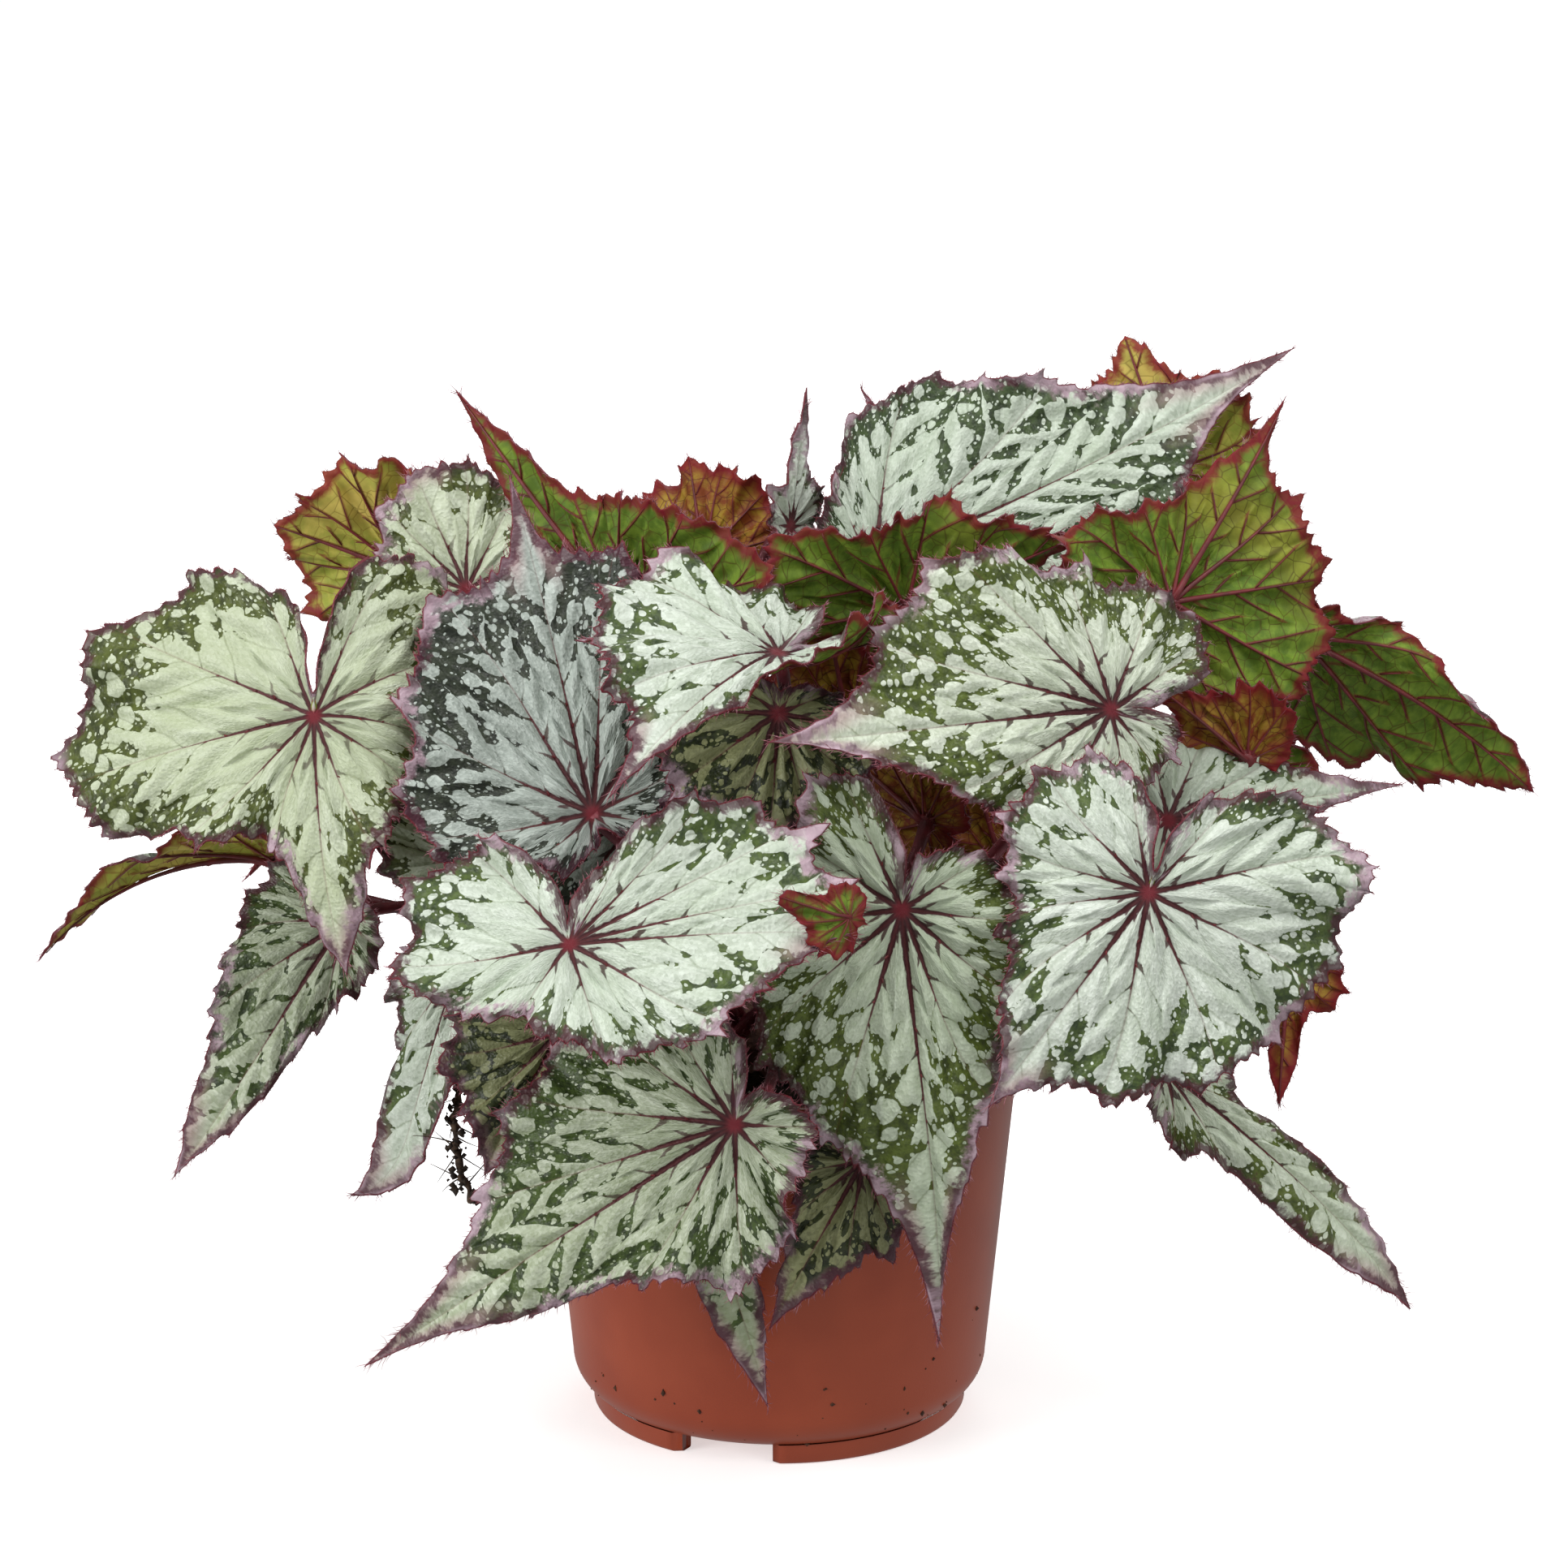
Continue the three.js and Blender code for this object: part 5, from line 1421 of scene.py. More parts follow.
    def margined(self, blade: BladeCanvas, ground: Any, broad: Any, fine: Any) -> Any:
        """Stains the margin purple, makes the teeth a pinkish silver and edges both with a thin red line.

        Args:
            blade: The material in the making.
            ground: The colour under them.
            broad: The broad noise.
            fine: The fine noise.

        Returns:
            The colour, as a socket.
        """
        calc, ramp = blade.calc, blade.ramp
        stain = calc((blade.edge, calc((fine, -9.0, 1.7), operation="MULTIPLY_ADD")), operation="ADD")
        lilac = calc((ramp((stain, 1.8, -0.6, 0.0, 0.8)), ramp((broad, 0.5, 0.62, 0.0, 1.0))),
                     operation="MULTIPLY")
        lilac = calc((lilac, ramp((fine, 0.38, 0.6, 0.1, 0.9))), operation="MULTIPLY")
        rays = calc((ramp((blade.tooth, 0.2, 3.4, 0.0, 1.0)), ramp((broad, 0.42, 0.6, 0.0, 0.8))),
                    operation="MULTIPLY")
        return blade.paint(ground, (ramp((stain, 0.3, -1.6, 0.0, 0.85)), self.margin), (lilac, self.tip),
                           (rays, self.tip), (ramp((blade.edge, 0.45, 0.15, 0.0, 0.9)), self.outline))


@dataclass(frozen=True)
class UnderFace:
    """The underside, duller than the upper face: green to red-brown, with a red margin and a net of fine
    veins that a low light shows as small pillows."""

    name: str
    green: str
    deep: str
    warm: str
    red: str
    net: str

    def material(self) -> bpy.types.Material:
        """Draws the mottled green, the net and the red margin.

        Returns:
            The material, in the blade's own coordinates.
        """
        blade = BladeCanvas(self.name)
        node, calc, ramp = blade.node, blade.calc, blade.ramp
        where = node("ShaderNodeCombineXYZ", (blade.arc, blade.radius, blade.shift))
        fine = node("ShaderNodeTexNoise", {"Vector": where, "Scale": 0.25, "Detail": 4.0, "Roughness": 0.65})
        broad = node("ShaderNodeTexNoise", {"Vector": where, "Scale": 0.02, "Detail": 1.0})
        cells = node("ShaderNodeTexVoronoi", {"Vector": where, "Scale": 0.24}, output="Distance",
                     feature="DISTANCE_TO_EDGE")
        beside = calc((blade.aside,), operation="ABSOLUTE")
        beside = calc((beside, blade.from_side_vein(blade.place)), operation="MINIMUM")
        ragged = calc((blade.edge, calc((fine, -7.0), operation="MULTIPLY")), operation="ADD")
        tone = blade.paint(self.deep, (ramp((fine, 0.35, 0.68, 0.0, 1.0)), self.green),
                           (ramp((broad, 0.52, 0.75, 0.0, 0.6)), self.warm),
                           (ramp((cells, 0.0, 0.05, 0.8, 0.0)), self.net),
                           (ramp((beside, 0.7, 0.2, 0.0, 0.6)), self.red),
                           (ramp((ragged, 0.2, -2.6, 0.0, 0.92)), self.red))
        return blade.close(tone, calc((cells, 0.4), operation="MULTIPLY"), 0.5, 0.55, 0.2)


@dataclass(frozen=True)
class Mottled:
    """A plain finish of two tones in soft patches, with a fine roughness."""

    name: str
    light: str
    dark: str
    patch: float  # across one patch, in millimetres
    roughness: float
    bump: float = 0.0  # height of the fine roughness, in millimetres
    grain: float = 1.0  # across one grain of it, in millimetres

    def material(self) -> bpy.types.Material:
        """Mixes the two tones by a noise in object space.

        Returns:
            The material.
        """
        made = new_material(self.name)
        node = partial(add, made)
        where = node("ShaderNodeTexCoord", output="Object")
        soft = node("ShaderNodeTexNoise", {"Vector": where, "Scale": 1 / (self.patch * MM), "Detail": 3.0})
        share = node("ShaderNodeMapRange", (soft, 0.35, 0.65, 0.0, 1.0), interpolation_type="SMOOTHSTEP")
        inputs = {"Base Color": paint(made, self.dark, (share, self.light)), "Roughness": self.roughness}
        if self.bump:
            scale = 1 / (self.grain * MM)
            fine = node("ShaderNodeTexNoise", {"Vector": where, "Scale": scale, "Detail": 3.0})
            relief = {"Strength": 1.0, "Distance": self.bump * MM, "Height": fine}
            inputs["Normal"] = node("ShaderNodeBump", relief)
        node("ShaderNodeOutputMaterial", (node("ShaderNodeBsdfPrincipled", inputs),))
        return made


UPPER_FACES = {
    Look.SILVER: UpperFace("Begonia leaf upper side, grown, bright silver", 0.70, "#B0B8AC", "#ECF2EA",
                           "#586A34", "#344228", fingers=0.18, vein_width=0.9),
    Look.BANDED: UpperFace("Begonia leaf upper side, grown, silver in fingers", 0.62, "#ABB4A8", "#E6EDE4",
                           "#485A33", "#2C3823", fingers=0.28, spikes=0.5),
    Look.GREEN: UpperFace("Begonia leaf upper side, grown, silver with wide green", 0.55, "#AEB79F",
                          "#E4EBDA", "#5F6E2C", "#3A451D"),
    Look.SPRING: UpperFace("Begonia leaf upper side, grown, greenish silver", 0.65, "#ADB69C", "#E5ECDB",
                           "#5A642C", "#373F1C", spikes=0.6, vein_width=0.75, tinge="#AAB58C"),
    # The shade, dusk and olive looks are darker copies of the silver, with wider green, for leaves that lie
    # in the shade of others: the darkening is painted shade.
    Look.SHADE: UpperFace("Begonia leaf upper side, grown, shaded green", 0.55, "#8E9A78", "#D5DDC8",
                          "#4C5F2A", "#2C381E", fingers=0.34, spikes=0.8, tinge="#7C8958"),
    Look.DUSK_SHADE: UpperFace("Begonia leaf upper side, grown, dusky silver", 0.55, "#8A938B", "#CBD4CC",
                         "#3A4132", "#1E231B", fingers=0.26, tinge="#838F83"),
    Look.OLIVE_SHADE: UpperFace("Begonia leaf upper side, grown, olive silver", 0.48, "#757852", "#A1A478",
                          "#3F4726", "#1E2416", fingers=0.25, tinge="#6F744E"),
}

UNDER_FACES = {
    Under.GREEN: UnderFace("Begonia leaf underside, grown, matt green", "#7F9A35", "#5A7526", "#A69238",
                           "#7A1226", "#5A5020"),
    # The golden underside is a brighter, yellower copy for leaves that light shines through from behind:
    # painted light.
    Under.GOLDEN_BACKLIT: UnderFace("Begonia leaf underside, grown, golden green", "#CBC45C", "#A4AE46", "#DBB568",
                            "#8A1C2C", "#96803A"),
    Under.RUSTY: UnderFace("Begonia leaf underside, grown, red-brown", "#A88A30", "#834222", "#BC9438",
                           "#7A1220", "#5A1F18"),
}

# The plainer finishes, with a word on what each gives the eye.
PLAIN = {
    # Fleshy ribs, a little waxy: a soft dark red gleam along them.
    "vein": Mottled("Begonia leaf vein, grown, fleshy", "#7A262B", "#5C1D1F", 6.0, 0.5),
    # Fine hairs, too thin to gleam: a pinkish fuzz along the margin.
    "hair": Mottled("Begonia leaf hair, grown, translucent", "#B9808A", "#8E3F4C", 3.0, 0.6),
    # Juicy stalks with a waxy skin: dark red with a soft highlight along them.
    "stalk": Mottled("Begonia leaf stalk, grown, fleshy", "#83303A", "#5C2029", 9.0, 0.45, 0.15, 0.6),
    # Pale hairs that light the stalks' outlines.
    "stalk_hair": Mottled("Begonia stalk hair, grown, pale", "#D3A9AC", "#B9848A", 4.0, 0.6),
    # Rough, dry and matt, scarred where leaves have dropped.
    "bark": Mottled("Begonia rootstock, grown, scarred", "#6B4A3A", "#4A2E28", 5.0, 0.8, 0.5, 1.2),
    # Shrivelled and dull, a dusty brown.
    "root": Mottled("Aerial root, grown, dried", "#5E4A38", "#382A20", 2.0, 0.9, 0.2, 0.5),
    # Dry crumbs of peat, almost black and without any gleam.
    "crumb": Mottled("Potting soil crumb, dried", "#3A2C20", "#1E1712", 1.5, 0.95, 0.2, 0.4),
    # Loose moist peat, dark and swallowing light.
    "soil": Mottled("Potting soil, moist, loose", "#3B2C20", "#211811", 5.0, 0.95, 0.7, 1.0),
    # Chalky white grains that stand out from the peat.
    "grit": Mottled("Perlite, expanded", "#C9C3B6", "#A79F90", 1.0, 0.9, 0.2, 0.3),
    # Mould-polished plastic, coloured through: even, with a broad soft highlight. Its fine pitting is drawn
    # coarser than the real one, so that it shows.
    "pot": Mottled("Nursery pot, injection-moulded polypropylene, terracotta-coloured", "#A5482A", "#993F23",
                   40.0, 0.38, 0.03, 0.5),
    # Splashes of peat, flat and dusty on the plastic.
    "dirt": Mottled("Soil splash, dried on", "#5A3A28", "#3A2419", 1.0, 0.95),
}


# ---- rootstock, stalks and the dry root ----


@dataclass(frozen=True)
class StalkDetail:
    """Sizes of the stalks, in millimetres."""

    solid_radius: float = 1.9
    foot_radius: float = 2.4
    middle_radius: float = 1.75
    head_radius: float = 2.1
    end_gap: float = 2.2
    spread: float = 0.8
    rise: float = 34.0
    lean: float = 0.15
    approach: float = 26.0
    from_cleft: float = 16.0
    lifts: tuple[float, ...] = (0, 20, -16, 40)
    asides: tuple[float, ...] = (0, 14, -14, 28, -28, 44, -44, 60, -60)
    sides: int = 10
    steps: int = 44
    hairs: float = 1.6  # for each millimetre of stalk
    hair_radius: float = 0.07
    hair_lengths: tuple[float, float] = (1.0, 2.8)
    hair_lean: tuple[float, float] = (0.1, 0.35)  # towards the blade, in lengths: mean and spread
    hair_bend: float = 0.35
    hair_root: float = 0.93  # how deep a hair's root is in the stalk, as a share of its radius
    bare_foot: float = 0.06  # share of the stalk at its foot that has no hairs


@dataclass(frozen=True)
class CrownForm:
    """The knob of rootstock at soil level, in millimetres."""

    centre: tuple[float, float, float] = (0, 2, 114)
    radii: tuple[float, float, float] = (34, 24, 9.5)
    stub_radius: float = 12.5
    stub_bottom: float = 84.0


class Rootstock:
    """The rootstock with every stalk and the dry root that hangs over the pot's edge."""

    NODE = "rootstock_and_stalks"
    ROUTE = ((-20, -6, 112), (-50, -22, 119), (-76, -38, 126), (-88, -52, 118),
             (-91, -55, 104), (-90, -56, 92), (-86, -56, 80))
    CHECKS = (0.4, 0.6, 0.8, 1.0)  # where along a route its distance from the solid is taken
    NEAREST = 5  # how many of the solid's points are asked there
    ROOTLETS = 46
    ROOT_CRUMBS = 90

    def __init__(self, crown: CrownForm, detail: StalkDetail, leaves: list[Leaf]) -> None:
        """Notes the sizes and where each blade is.

        Args:
            crown: The knob's form.
            detail: The stalks' sizes.
            leaves: The settled blades.
        """
        self.crown = crown
        self.detail = detail
        self.leaves = leaves
        self.rng = np.random.default_rng(5)
        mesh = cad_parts[self.NODE].data
        points = np.empty(len(mesh.vertices) * 3, np.float32)
        mesh.vertices.foreach_get("co", points)
        self.solid_points = points.reshape(-1, 3).astype(float) / MM

    def routes(self, leaf: Leaf) -> list[np.ndarray]:
        """Lists every route that a leaf's stalk may take.

        Args:
            leaf: The settled blade.

        Returns:
            Each route as rows of points from the knob to the blade.
        """
        detail, surface = self.detail, leaf.surface
        angles, stands = surface.coarse_teeth()
        ring = np.arange(0, len(angles) - 1, 4)
        reach = surface.margin_radius(angles) + surface.drip_length(angles, SOLID_DRIP_WIDTH)
        third = surface.place(angles, reach * 0.33, reach)[ring]
        middle = surface.centre()
        normal = unit(np.cross(third - middle, np.roll(third, -1, axis=0) - middle).sum(axis=0))
        end = middle - normal * detail.end_gap
        outward = np.array([end[0], end[1], 0.0])
        span = np.linalg.norm(outward)
        outward /= span
        sideways = np.array([-outward[1], outward[0], 0.0])
        wide, deep, _ = self.crown.radii
        start = np.array([outward[0] * wide, outward[1] * deep, 0]) * detail.spread + self.crown.centre
        t = np.linspace(0, 1, detail.steps + 1)[:, None]
        found = []
        for lift in detail.lifts:
            for aside in detail.asides:
                rising = start + outward * span * detail.lean + sideways * aside
                rising = rising + [0, 0, detail.rise + lift]
                nearing = end - normal * detail.approach - surface.ahead * detail.from_cleft
                nearing = nearing + sideways * aside / 2
                curve = start * (1 - t) ** 3 + rising * 3 * t * (1 - t) ** 2 + nearing * 3 * t**2 * (1 - t)
                found.append(curve + end * t**3)
        return found

    def route(self, leaf: Leaf) -> np.ndarray:
        """Picks the route that the solid stalk takes.

        Args:
            leaf: The settled blade.

        Returns:
            Rows of points from the knob to the blade.
        """
        best, least = None, math.inf
        for curve in self.routes(leaf):
            along = run_length(curve)
            misses = 0.0
            for share in self.CHECKS:
                here = read_rows(curve, along, share * along[-1])
                away = np.sort(np.linalg.norm(self.solid_points - here, axis=1))[: self.NEAREST]
                misses += float(np.abs(away - self.detail.solid_radius).sum())
            if misses < least:
                best, least = curve, misses
        off = least / (len(self.CHECKS) * self.NEAREST)
        LOG.info("stalk of %s: %.1f mm off its solid", leaf.form.name, off)
        return best

    def add_stalk(self, stock: MeshStock, line: np.ndarray) -> None:
        """Adds one stalk with its pale hairs.

        Args:
            stock: What gets it.
            line: The stalk's route.
        """
        detail, rng = self.detail, self.rng
        share = np.linspace(0, 1, len(line))
        radii = np.interp(share, [0, 0.25, 0.85, 1], [detail.foot_radius, detail.middle_radius,
                                                      detail.middle_radius, detail.head_radius])
        add_tube(stock, line, radii, detail.sides, 0)
        along = run_length(line)
        count = int(along[-1] * detail.hairs)
        at = np.sort(rng.uniform(detail.bare_foot, 1, count)) * along[-1]
        here = read_rows(line, along, at)
        ahead = unit(read_rows(np.gradient(line, axis=0), along, at))
        way = rng.normal(0, 1, (count, 3))
        way = unit(way - ahead * np.sum(way * ahead, axis=1, keepdims=True))
        roots = here + way * (np.interp(at, along, radii)[:, None] * detail.hair_root)
        ways = unit(way + ahead * rng.normal(*detail.hair_lean, (count, 1)))
        lengths = rng.uniform(*detail.hair_lengths, count)
        bends = rng.normal(0, detail.hair_bend, (count, 3))
        add_hairs(stock, roots, ways, lengths, detail.hair_radius, bends, 1)

    def add_crown(self, stock: MeshStock) -> None:
        """Adds the knob, ringed with leaf scars, and its stub.

        Args:
            stock: What gets them.
        """
        crown = self.crown
        turns, levels = 72, 30
        rise = np.linspace(-math.pi / 2, math.pi / 2, levels)
        around, up = np.meshgrid(full_turn(turns), rise)
        scars = 0.05 * np.sin(9 * up + 2.5 * np.cos(3 * around)) + 0.03 * np.sin(7 * around + 5 * up)
        size = 1 + scars * np.cos(up)
        knob = np.stack([np.cos(up) * np.cos(around), np.cos(up) * np.sin(around), np.sin(up)], axis=-1)
        points = knob * size[..., None] * crown.radii + crown.centre
        stock.add(points.reshape(-1, 3), sheet_faces(levels, turns), 2)
        depth = np.linspace(crown.stub_bottom, crown.centre[2], 8)
        line = np.stack([np.zeros(8), np.zeros(8), depth], axis=-1)
        add_tube(stock, line, np.linspace(crown.stub_radius * 0.8, crown.stub_radius, 8), 20, 2)

    def build(self, finishes: dict[str, bpy.types.Material]) -> bpy.types.Object:
        """Makes the piece.

        Args:
            finishes: The stalk, stalk_hair and bark materials.

        Returns:
            The rootstock with its stalks.
        """
        stock = MeshStock.empty()
        self.add_crown(stock)
        for leaf in self.leaves:
            self.add_stalk(stock, self.route(leaf))
        slots = [finishes[name] for name in ("stalk", "stalk_hair", "bark")]
        piece = stock.piece("stalks_and_rootstock", slots)
        finish_piece(piece, "leaf_stalk", self.NODE)
        return piece

    def build_root(self, finishes: dict[str, bpy.types.Material]) -> bpy.types.Object:
        """Makes the dry aerial root with its rootlets and crumbs of soil.

        Args:
            finishes: The root and crumb materials.

        Returns:
            The root's piece.
        """
        rng = self.rng
        stock = MeshStock.empty()
        route = np.array(self.ROUTE, float)
        t = np.linspace(0, len(route) - 1, 90)
        line = read_rows(route, np.arange(len(route)), t)
        # A soft window of 13 points rounds the route's corners.
        kernel = np.hanning(13) / np.hanning(13).sum()
        padded = np.concatenate([np.repeat(line[:1], 6, axis=0), line, np.repeat(line[-1:], 6, axis=0)])
        line = np.stack([np.convolve(padded[:, k], kernel, mode="valid") for k in range(3)], axis=-1)
        wobble = np.stack([np.sin(t * 9 + k) + 0.5 * np.sin(t * 17 + 2 * k) for k in range(3)], axis=-1)
        line = line + wobble * 0.5
        add_tube(stock, line, 0.95 + 0.25 * np.sin(t * 14), 8, 0)
        for _ in range(self.ROOTLETS):
            i = int(rng.integers(30, 88))
            way = unit(rng.normal(0, 1, 3) + [0, 0, -0.5])
            steps = np.arange(9)[:, None]
            bend = rng.normal(0, 0.25, 3)
            length = rng.uniform(3, 13)
            twig = line[i] + (way * steps + bend * steps**2 / 8) * length / 8
            add_tube(stock, twig, np.linspace(0.28, 0.08, 9), 4, 0)
        for _ in range(self.ROOT_CRUMBS):
            i = int(rng.integers(36, 90))
            add_crumb(stock, line[min(i, 89)] + rng.normal(0, 1.6, 3), rng.uniform(0.4, 1.5), rng, 1)
        piece = stock.piece("dry_root", [finishes["root"], finishes["crumb"]])
        finish_piece(piece, "leaf_stalk")
        return piece


# ---- soil ----


def add_crumb(stock: MeshStock, centre: np.ndarray, radius: float, rng: np.random.Generator,
              slot: int) -> None:
    """Adds one angular crumb of soil.

    Args:
        stock: What gets it.
        centre: Its middle.
        radius: Half its size, in millimetres.
        rng: What its corners are drawn from.
        slot: The material slot's number.
    """
    axes = np.array([[1, 0, 0], [-1, 0, 0], [0, 1, 0], [0, -1, 0], [0, 0, 1], [0, 0, -1]], float)
    points = centre + axes * radius * rng.uniform(0.6, 1.2, (6, 1)) + rng.normal(0, 0.15 * radius, (6, 3))
    faces = np.array([[0, 2, 4], [2, 1, 4], [1, 3, 4], [3, 0, 4], [2, 0, 5], [1, 2, 5], [3, 1, 5], [0, 3, 5]])
    stock.add(points, faces, slot)


@dataclass(frozen=True)
class SoilForm:
    """The filling of potting soil, in millimetres."""

    level: float = 101.0
    bottom: float = 8.0
    edge: float = 62.0
    skirt: float = 6.0
    lump: float = 1.6
    hidden_radii: tuple[float, ...] = (64.4, 58.0, 46.0, 0.5)  # of the side and the underside
    side_drop: float = 76.0  # how far the side's second ring is under the level
    crumbs: int = 700
    crumb_reach: float = 0.97  # how far out the crumbs lie, as a share of the edge
    grit_every: int = 9

    def height(self, x: np.ndarray, y: np.ndarray) -> np.ndarray:
        """Works out how far the surface stands above its level.

        Args:
            x: Where, in millimetres.
            y: The same.

        Returns:
            Millimetres.
        """
        wide = np.sin(0.37 * x + 1.1) * np.cos(0.29 * y)
        rough = 0.5 * np.sin(1.9 * x + 0.7 * y) * np.sin(2.3 * y - 0.4 * x)
        return self.lump * (wide + 0.4 * np.sin(0.9 * x - 0.7 * y) + 0.5 * rough)

    def build(self, soil: bpy.types.Material, grit: bpy.types.Material) -> bpy.types.Object:
        """Makes the soil with its crumbs.

        Args:
            soil: The dark mass.
            grit: The pale grains of perlite.

        Returns:
            The soil's piece.
        """
        rng = np.random.default_rng(8)
        stock = MeshStock.empty()
        turns, levels = 120, 48
        turn = full_turn(turns)
        radii = np.concatenate([np.linspace(0.5, self.edge, levels), self.hidden_radii])
        base = self.bottom - self.level
        drops = np.concatenate([np.zeros(levels), [-self.skirt, -self.side_drop, base, base]])[:, None]
        x, y = radii[:, None] * np.cos(turn), radii[:, None] * np.sin(turn)
        z = self.level + np.broadcast_to(drops, x.shape) + np.where(drops == 0, self.height(x, y), 0)
        faces = sheet_faces(len(radii), turns)[:, TURNED]
        stock.add(np.stack([x, y, z], axis=-1).reshape(-1, 3), faces, 0)
        for number in range(self.crumbs):
            reach = self.edge * math.sqrt(rng.random()) * self.crumb_reach
            angle = rng.uniform(0, 2 * math.pi)
            place = np.array([reach * math.cos(angle), reach * math.sin(angle), 0.0])
            place[2] = self.level + float(self.height(place[0], place[1])) + rng.uniform(-0.2, 0.5)
            add_crumb(stock, place, rng.uniform(0.5, 2.0), rng, int(number % self.grit_every == 0))
        piece = stock.piece("soil_and_crumbs", [soil, grit])
        finish_piece(piece, "potting_soil", "soil")
        return piece


# ---- pot ----


@dataclass(frozen=True)
class PotForm:
    """The moulded nursery pot, in millimetres."""

    height: float = 112.0
    foot: float = 5.0
    base_radius: float = 49.0
    corner: float = 11.5
    rim_radius: float = 69.0
    lip_radius: float = 71.0
    lip_height: float = 8.0
    wall: float = 1.8
    floor: float = 2.2
    foot_inner: float = 45.5
    foot_outer: float = 54.5
    foot_arc: float = 90.0
    foot_starts: tuple[float, ...] = (-92, 28, 148)
    drain_radius: float = 4.0
    drain_ring: float = 34.0
    floor_rings: tuple[float, float, float] = (24.0, 29.4, 38.6)  # the holes lie between the last two
    holes: int = 6
    sides: int = 144
    specks: int = 90
    speck_rise: float = 9.0
    speck_top: float = 70.0

    def profile(self) -> np.ndarray:
        """Lists the wall's section from the middle of the underside, over the lip and back inside.

        Returns:
            Rows of radius and height.
        """
        wide = self.base_radius + self.corner
        rows = [(reach, self.foot) for reach in (0.0, *self.floor_rings)]
        for turn in np.linspace(0, math.pi / 2, 13):
            reach = self.base_radius + self.corner * math.sin(turn)
            rows.append((reach, self.foot + self.corner * (1 - math.cos(turn))))
        under = self.height - self.lip_height
        for share in (0.15, 0.4, 0.7, 0.97):
            low = self.foot + self.corner
            rows.append((wide + (self.rim_radius - wide) * share, low + (under - low) * share))
        rows += [(self.rim_radius, under - 0.4), (self.rim_radius + 0.4, under)]
        rows += [(self.lip_radius - 0.6, under), (self.lip_radius, under + 0.6)]
        rows += [(self.lip_radius, self.height - 0.9)]
        rows += [(self.lip_radius - 0.3, self.height - 0.25), (self.lip_radius - 0.9, self.height)]
        inner = self.rim_radius - self.wall
        rows += [(inner + 0.6, self.height), (inner, self.height - 0.5)]
        rows += [(wide - self.wall, self.foot + self.corner), (self.base_radius, self.foot + self.floor)]
        rows += [(reach, self.foot + self.floor) for reach in (*self.floor_rings[::-1], 0.0)]
        return np.array(rows)

    def add_wall(self, stock: MeshStock) -> None:
        """Adds the turned wall and floor, with the drain holes left out of the floor's ring.

        Args:
            stock: What gets them.
        """
        profile = self.profile()
        turn = full_turn(self.sides)
        x, y = profile[:, :1] * np.cos(turn), profile[:, :1] * np.sin(turn)
        points = np.stack([x, y, np.broadcast_to(profile[:, 1:], x.shape)], axis=-1)
        spacing = 2 * math.pi / self.holes
        middle = (np.arange(self.sides) + 0.5) * 2 * math.pi / self.sides
        from_hole = np.abs((middle / spacing) % 1 - 0.5) * spacing * self.drain_ring
        _, least, most = self.floor_rings
        inner, outer = np.sort([profile[:-1, 0], profile[1:, 0]], axis=0)
        ring = (inner >= least) & (outer <= most)
        hole = ring[:, None] & (from_hole < self.drain_radius)
        faces = sheet_faces(len(profile), self.sides)[~hole.reshape(-1)]
        stock.add(points.reshape(-1, 3), faces, 0)

    def add_foot(self, stock: MeshStock, start: float) -> None:
        """Adds one segment of the foot ring, rounded below and at its ends.

        Args:
            stock: What gets it.
            start: Degrees from +X at which it starts.
        """
        outer, inner = self.foot_outer, self.foot_inner
        section = np.array([(inner, self.foot + 1), (inner, 0.8), (inner + 0.3, 0.25), (inner + 0.9, 0),
                            (outer - 1.4, 0), (outer - 0.5, 0.35), (outer, 1.2), (outer, self.foot + 1)])
        steps = 40
        share = np.linspace(0, 1, steps + 1)
        pinch = 1 - 0.5 * np.clip(1 - np.minimum(share, 1 - share) * 40, 0, 1) ** 2
        turn = np.radians(start + self.foot_arc * share)
        middle = (outer + inner) / 2
        radius = middle + (section[:, 0] - middle)[:, None] * pinch
        points = np.stack([radius * np.cos(turn), radius * np.sin(turn),
                           np.broadcast_to(section[:, 1:], radius.shape)], axis=-1)
        faces = sheet_faces(len(section), steps + 1, closed=False)[:, ::-1]
        first = stock.add(points.reshape(-1, 3), faces, 0)
        for column, order in ((0, 1), (steps, -1)):
            rim = (np.arange(len(section)) * (steps + 1) + column)[::order]
            rim = np.stack([rim[:4], rim[4:][::-1]], axis=-1)
            quads = np.stack([rim[:-1, 0], rim[1:, 0], rim[1:, 1], rim[:-1, 1]], axis=-1)
            stock.add_faces(first, quads, 0)

    def build(self, plastic: bpy.types.Material, dirt: bpy.types.Material) -> bpy.types.Object:
        """Makes the pot with the dirt that sticks to its foot.

        Args:
            plastic: The moulded plastic.
            dirt: The dried splashes of soil.

        Returns:
            The pot's piece.
        """
        rng = np.random.default_rng(3)
        stock = MeshStock.empty()
        self.add_wall(stock)
        for start in self.foot_starts:
            self.add_foot(stock, start)
        for _ in range(self.specks):
            turn = rng.uniform(0, 2 * math.pi)
            rise = rng.exponential(self.speck_rise)
            height = self.foot + 1 + min(rise, self.speck_top)
            low = self.foot + self.corner
            reach = self.base_radius + self.corner
            if height < low:
                reach = self.base_radius + math.sqrt(max(self.corner**2 - (low - height) ** 2, 0))
            else:
                reach += (self.rim_radius - reach) * (height - low) / (self.height - self.lip_height - low)
            place = np.array([reach * math.cos(turn), reach * math.sin(turn), height])
            add_crumb(stock, place, float(min(rng.exponential(0.35) + 0.15, 1.2)), rng, 1)
        piece = stock.piece("nursery_pot", [plastic, dirt])
        finish_piece(piece, "pot_plastic", "pot")
        return piece


# ---- studio ----


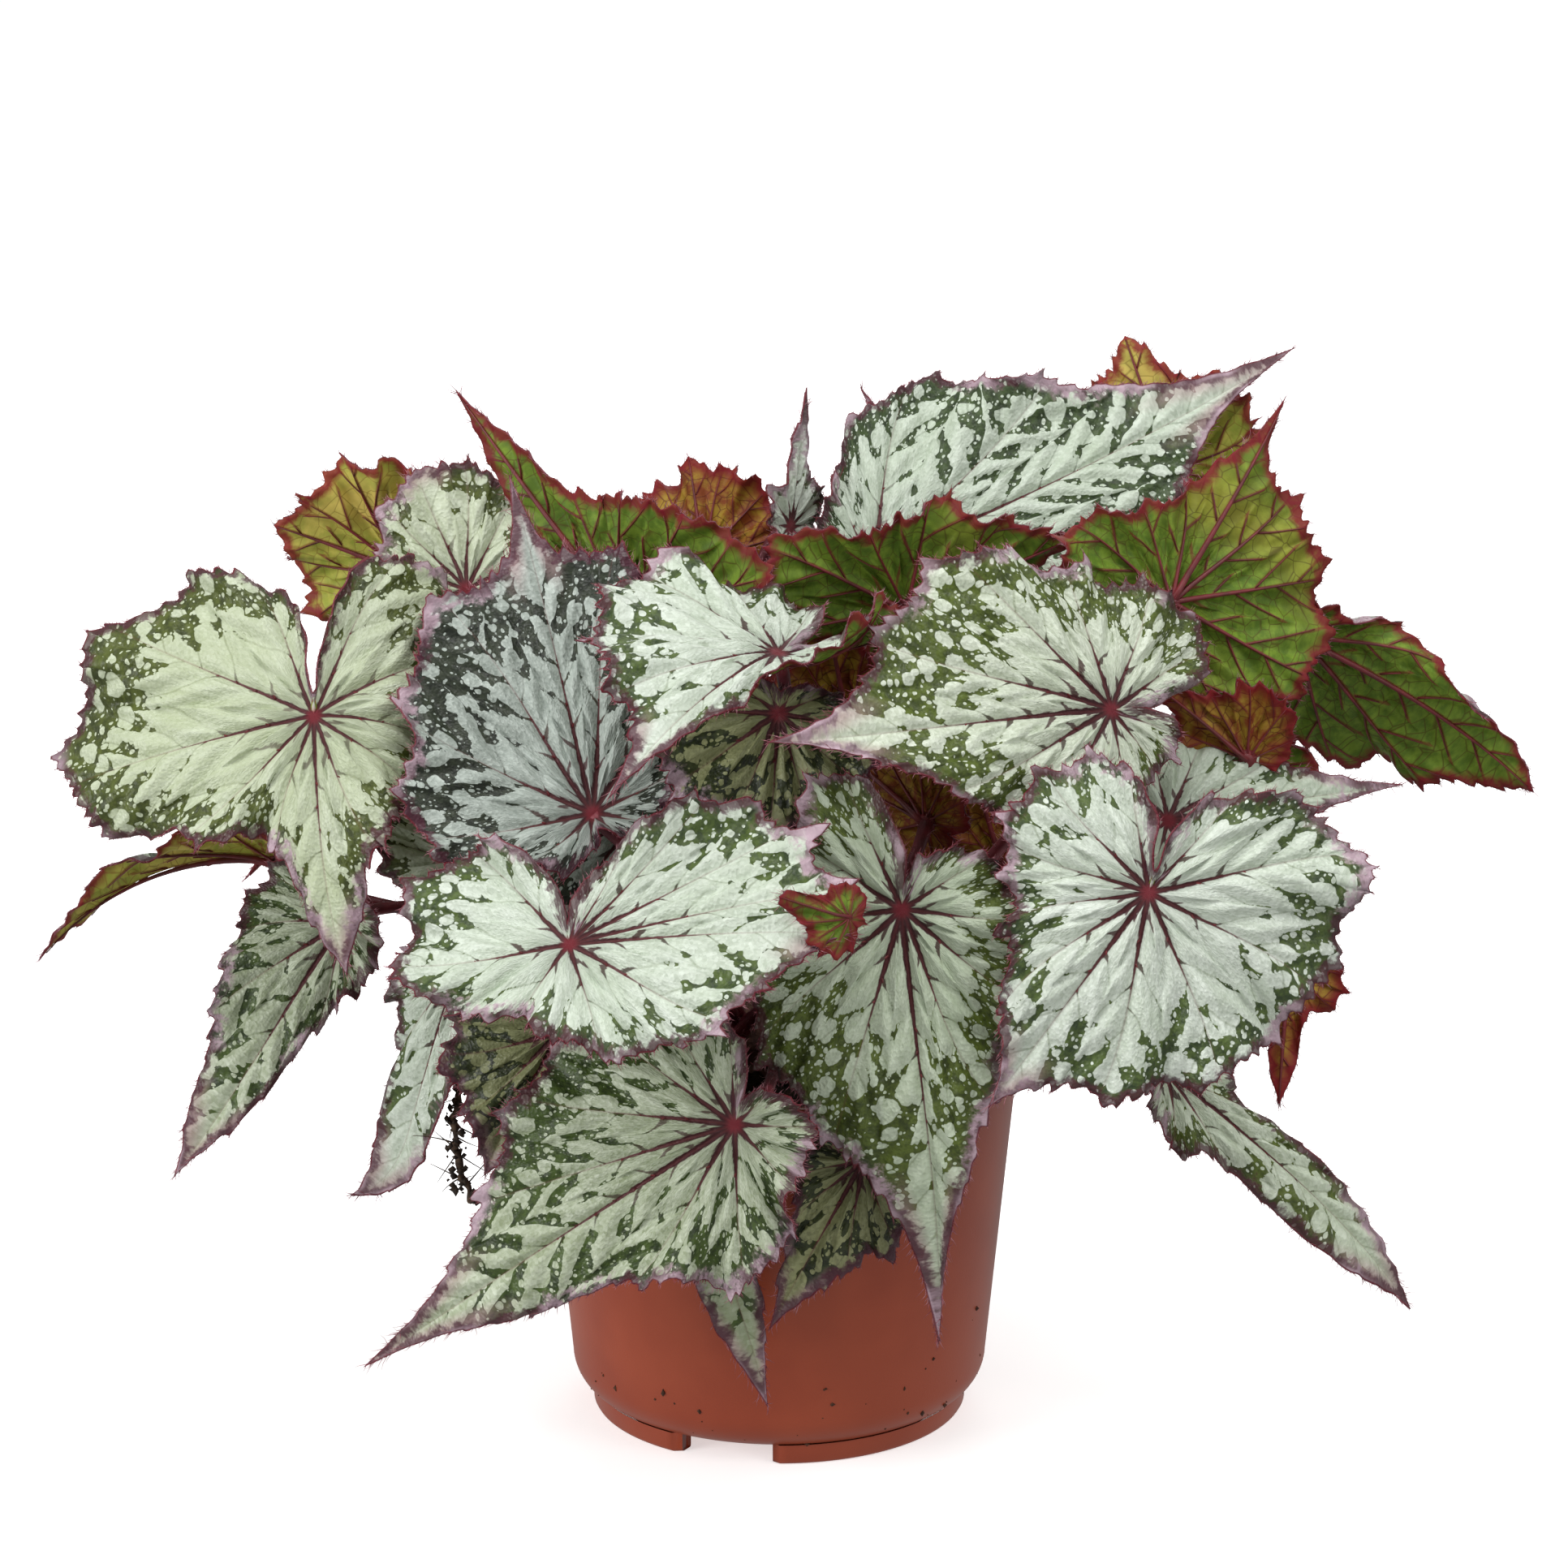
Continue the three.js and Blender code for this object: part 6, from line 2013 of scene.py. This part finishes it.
# The lights in the order they are hung: name, place and side in metres, and power in watts.
SOFTBOXES = (
    ("softbox_top", (-0.1, -0.6, 2.4), 1.4, 30.0),
    ("softbox_right", (1.8, -1.5, 1.5), 1.2, 15.0),
    ("softbox_left", (-2.1, -1.1, 0.7), 1.2, 31.0),
    ("softbox_back", (0.5, 2.2, 1.6), 1.4, 13.0),
)


@dataclass(frozen=True)
class Studio:
    """White paper and large soft lights, with the camera in front of the plant."""

    camera_place: tuple[float, float, float] = (0.0014, -1.393, 0.562)
    camera_pitch: float = 74.9
    lens: float = 116.07
    paper: str = "#FFFFFF"
    paper_size: float = 12.0
    ambient: float = 0.42

    def add_light(self, name: str, place: tuple[float, float, float], size: float, power: float) -> None:
        """Adds a square soft light aimed at the plant.

        Args:
            name: What the light is.
            place: Where it hangs, in metres.
            size: Its side.
            power: In watts.
        """
        light = bpy.data.lights.new(name, "AREA")
        light.size = size
        light.energy = power
        lamp = bpy.data.objects.new(name, light)
        lamp.location = place
        lamp.rotation_euler = (Vector((0, 0, 0.15)) - lamp.location).to_track_quat("-Z", "Y").to_euler()
        bpy.context.scene.collection.objects.link(lamp)

    def build(self) -> None:
        """Sets up the paper, the sky, the lights and the camera."""
        scene = bpy.context.scene
        mesh = bpy.data.meshes.new("paper")
        half = self.paper_size / 2
        corners = [(-half, -half, 0), (half, -half, 0), (half, half, 0), (-half, half, 0)]
        mesh.from_pydata(corners, [], [(0, 1, 2, 3)])
        paper = bpy.data.objects.new("paper", mesh)
        scene.collection.objects.link(paper)
        finish = new_material("White background paper, matt")
        white = linear(self.paper)
        shader = add(finish, "ShaderNodeBsdfPrincipled", {"Base Color": white, "Roughness": 0.95,
                     "Specular IOR Level": 0.0, "Emission Color": white, "Emission Strength": 0.55})
        add(finish, "ShaderNodeOutputMaterial", (shader,))
        mesh.materials.append(finish)
        bpy.ops.mesh.primitive_uv_sphere_add(segments=48, ring_count=24, radius=self.paper_size)
        backdrop = bpy.context.object
        backdrop.name = "backdrop"
        glow = new_material("White backdrop, lit evenly")
        add(glow, "ShaderNodeOutputMaterial", (add(glow, "ShaderNodeEmission", {"Strength": 1.0}),))
        backdrop.data.materials.append(glow)
        backdrop.visible_shadow = False
        for sheet in (paper, backdrop):
            sheet.visible_diffuse = sheet.visible_glossy = sheet.visible_transmission = False
        world = bpy.data.worlds.new("studio")
        world.use_nodes = True
        sky = world.node_tree.nodes["Background"]
        sky.inputs["Color"].default_value = (1.0, 1.0, 1.0, 1.0)
        sky.inputs["Strength"].default_value = self.ambient
        scene.world = world
        for name, place, size, power in SOFTBOXES:
            self.add_light(name, place, size, power)
        data = bpy.data.cameras.new("camera")
        data.lens = self.lens
        data.sensor_width = 36.0
        camera = bpy.data.objects.new("camera", data)
        camera.location = self.camera_place
        camera.rotation_euler = (math.radians(self.camera_pitch), 0, 0)
        scene.collection.objects.link(camera)
        scene.camera = camera
        scene.view_settings.view_transform = "Standard"


# ---- the whole plant ----


def make_finishes() -> dict[str, bpy.types.Material]:
    """Makes every material once.

    Returns:
        The materials by the names of their looks, undersides and plain finishes.
    """
    finishes = {look.value: face.material() for look, face in UPPER_FACES.items()}
    finishes |= {under.value: face.material() for under, face in UNDER_FACES.items()}
    return finishes | {name: finish.material() for name, finish in PLAIN.items()}


def main() -> None:
    """Builds the plant in order and reports each piece."""
    logging.basicConfig(level=logging.INFO, format="%(message)s")
    Studio().build()
    finishes = make_finishes()
    leaves = [Leaf(form, number, LeafDetail()) for number, form in enumerate(LEAVES + YOUNG)]
    for leaf in leaves:
        leaf.build(finishes)
    rootstock = Rootstock(CrownForm(), StalkDetail(), leaves[: len(LEAVES)])
    rootstock.build(finishes)
    rootstock.build_root(finishes)
    SoilForm().build(finishes["soil"], finishes["grit"])
    PotForm().build(finishes["pot"], finishes["dirt"])
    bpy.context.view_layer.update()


if __name__ == "__main__":
    main()
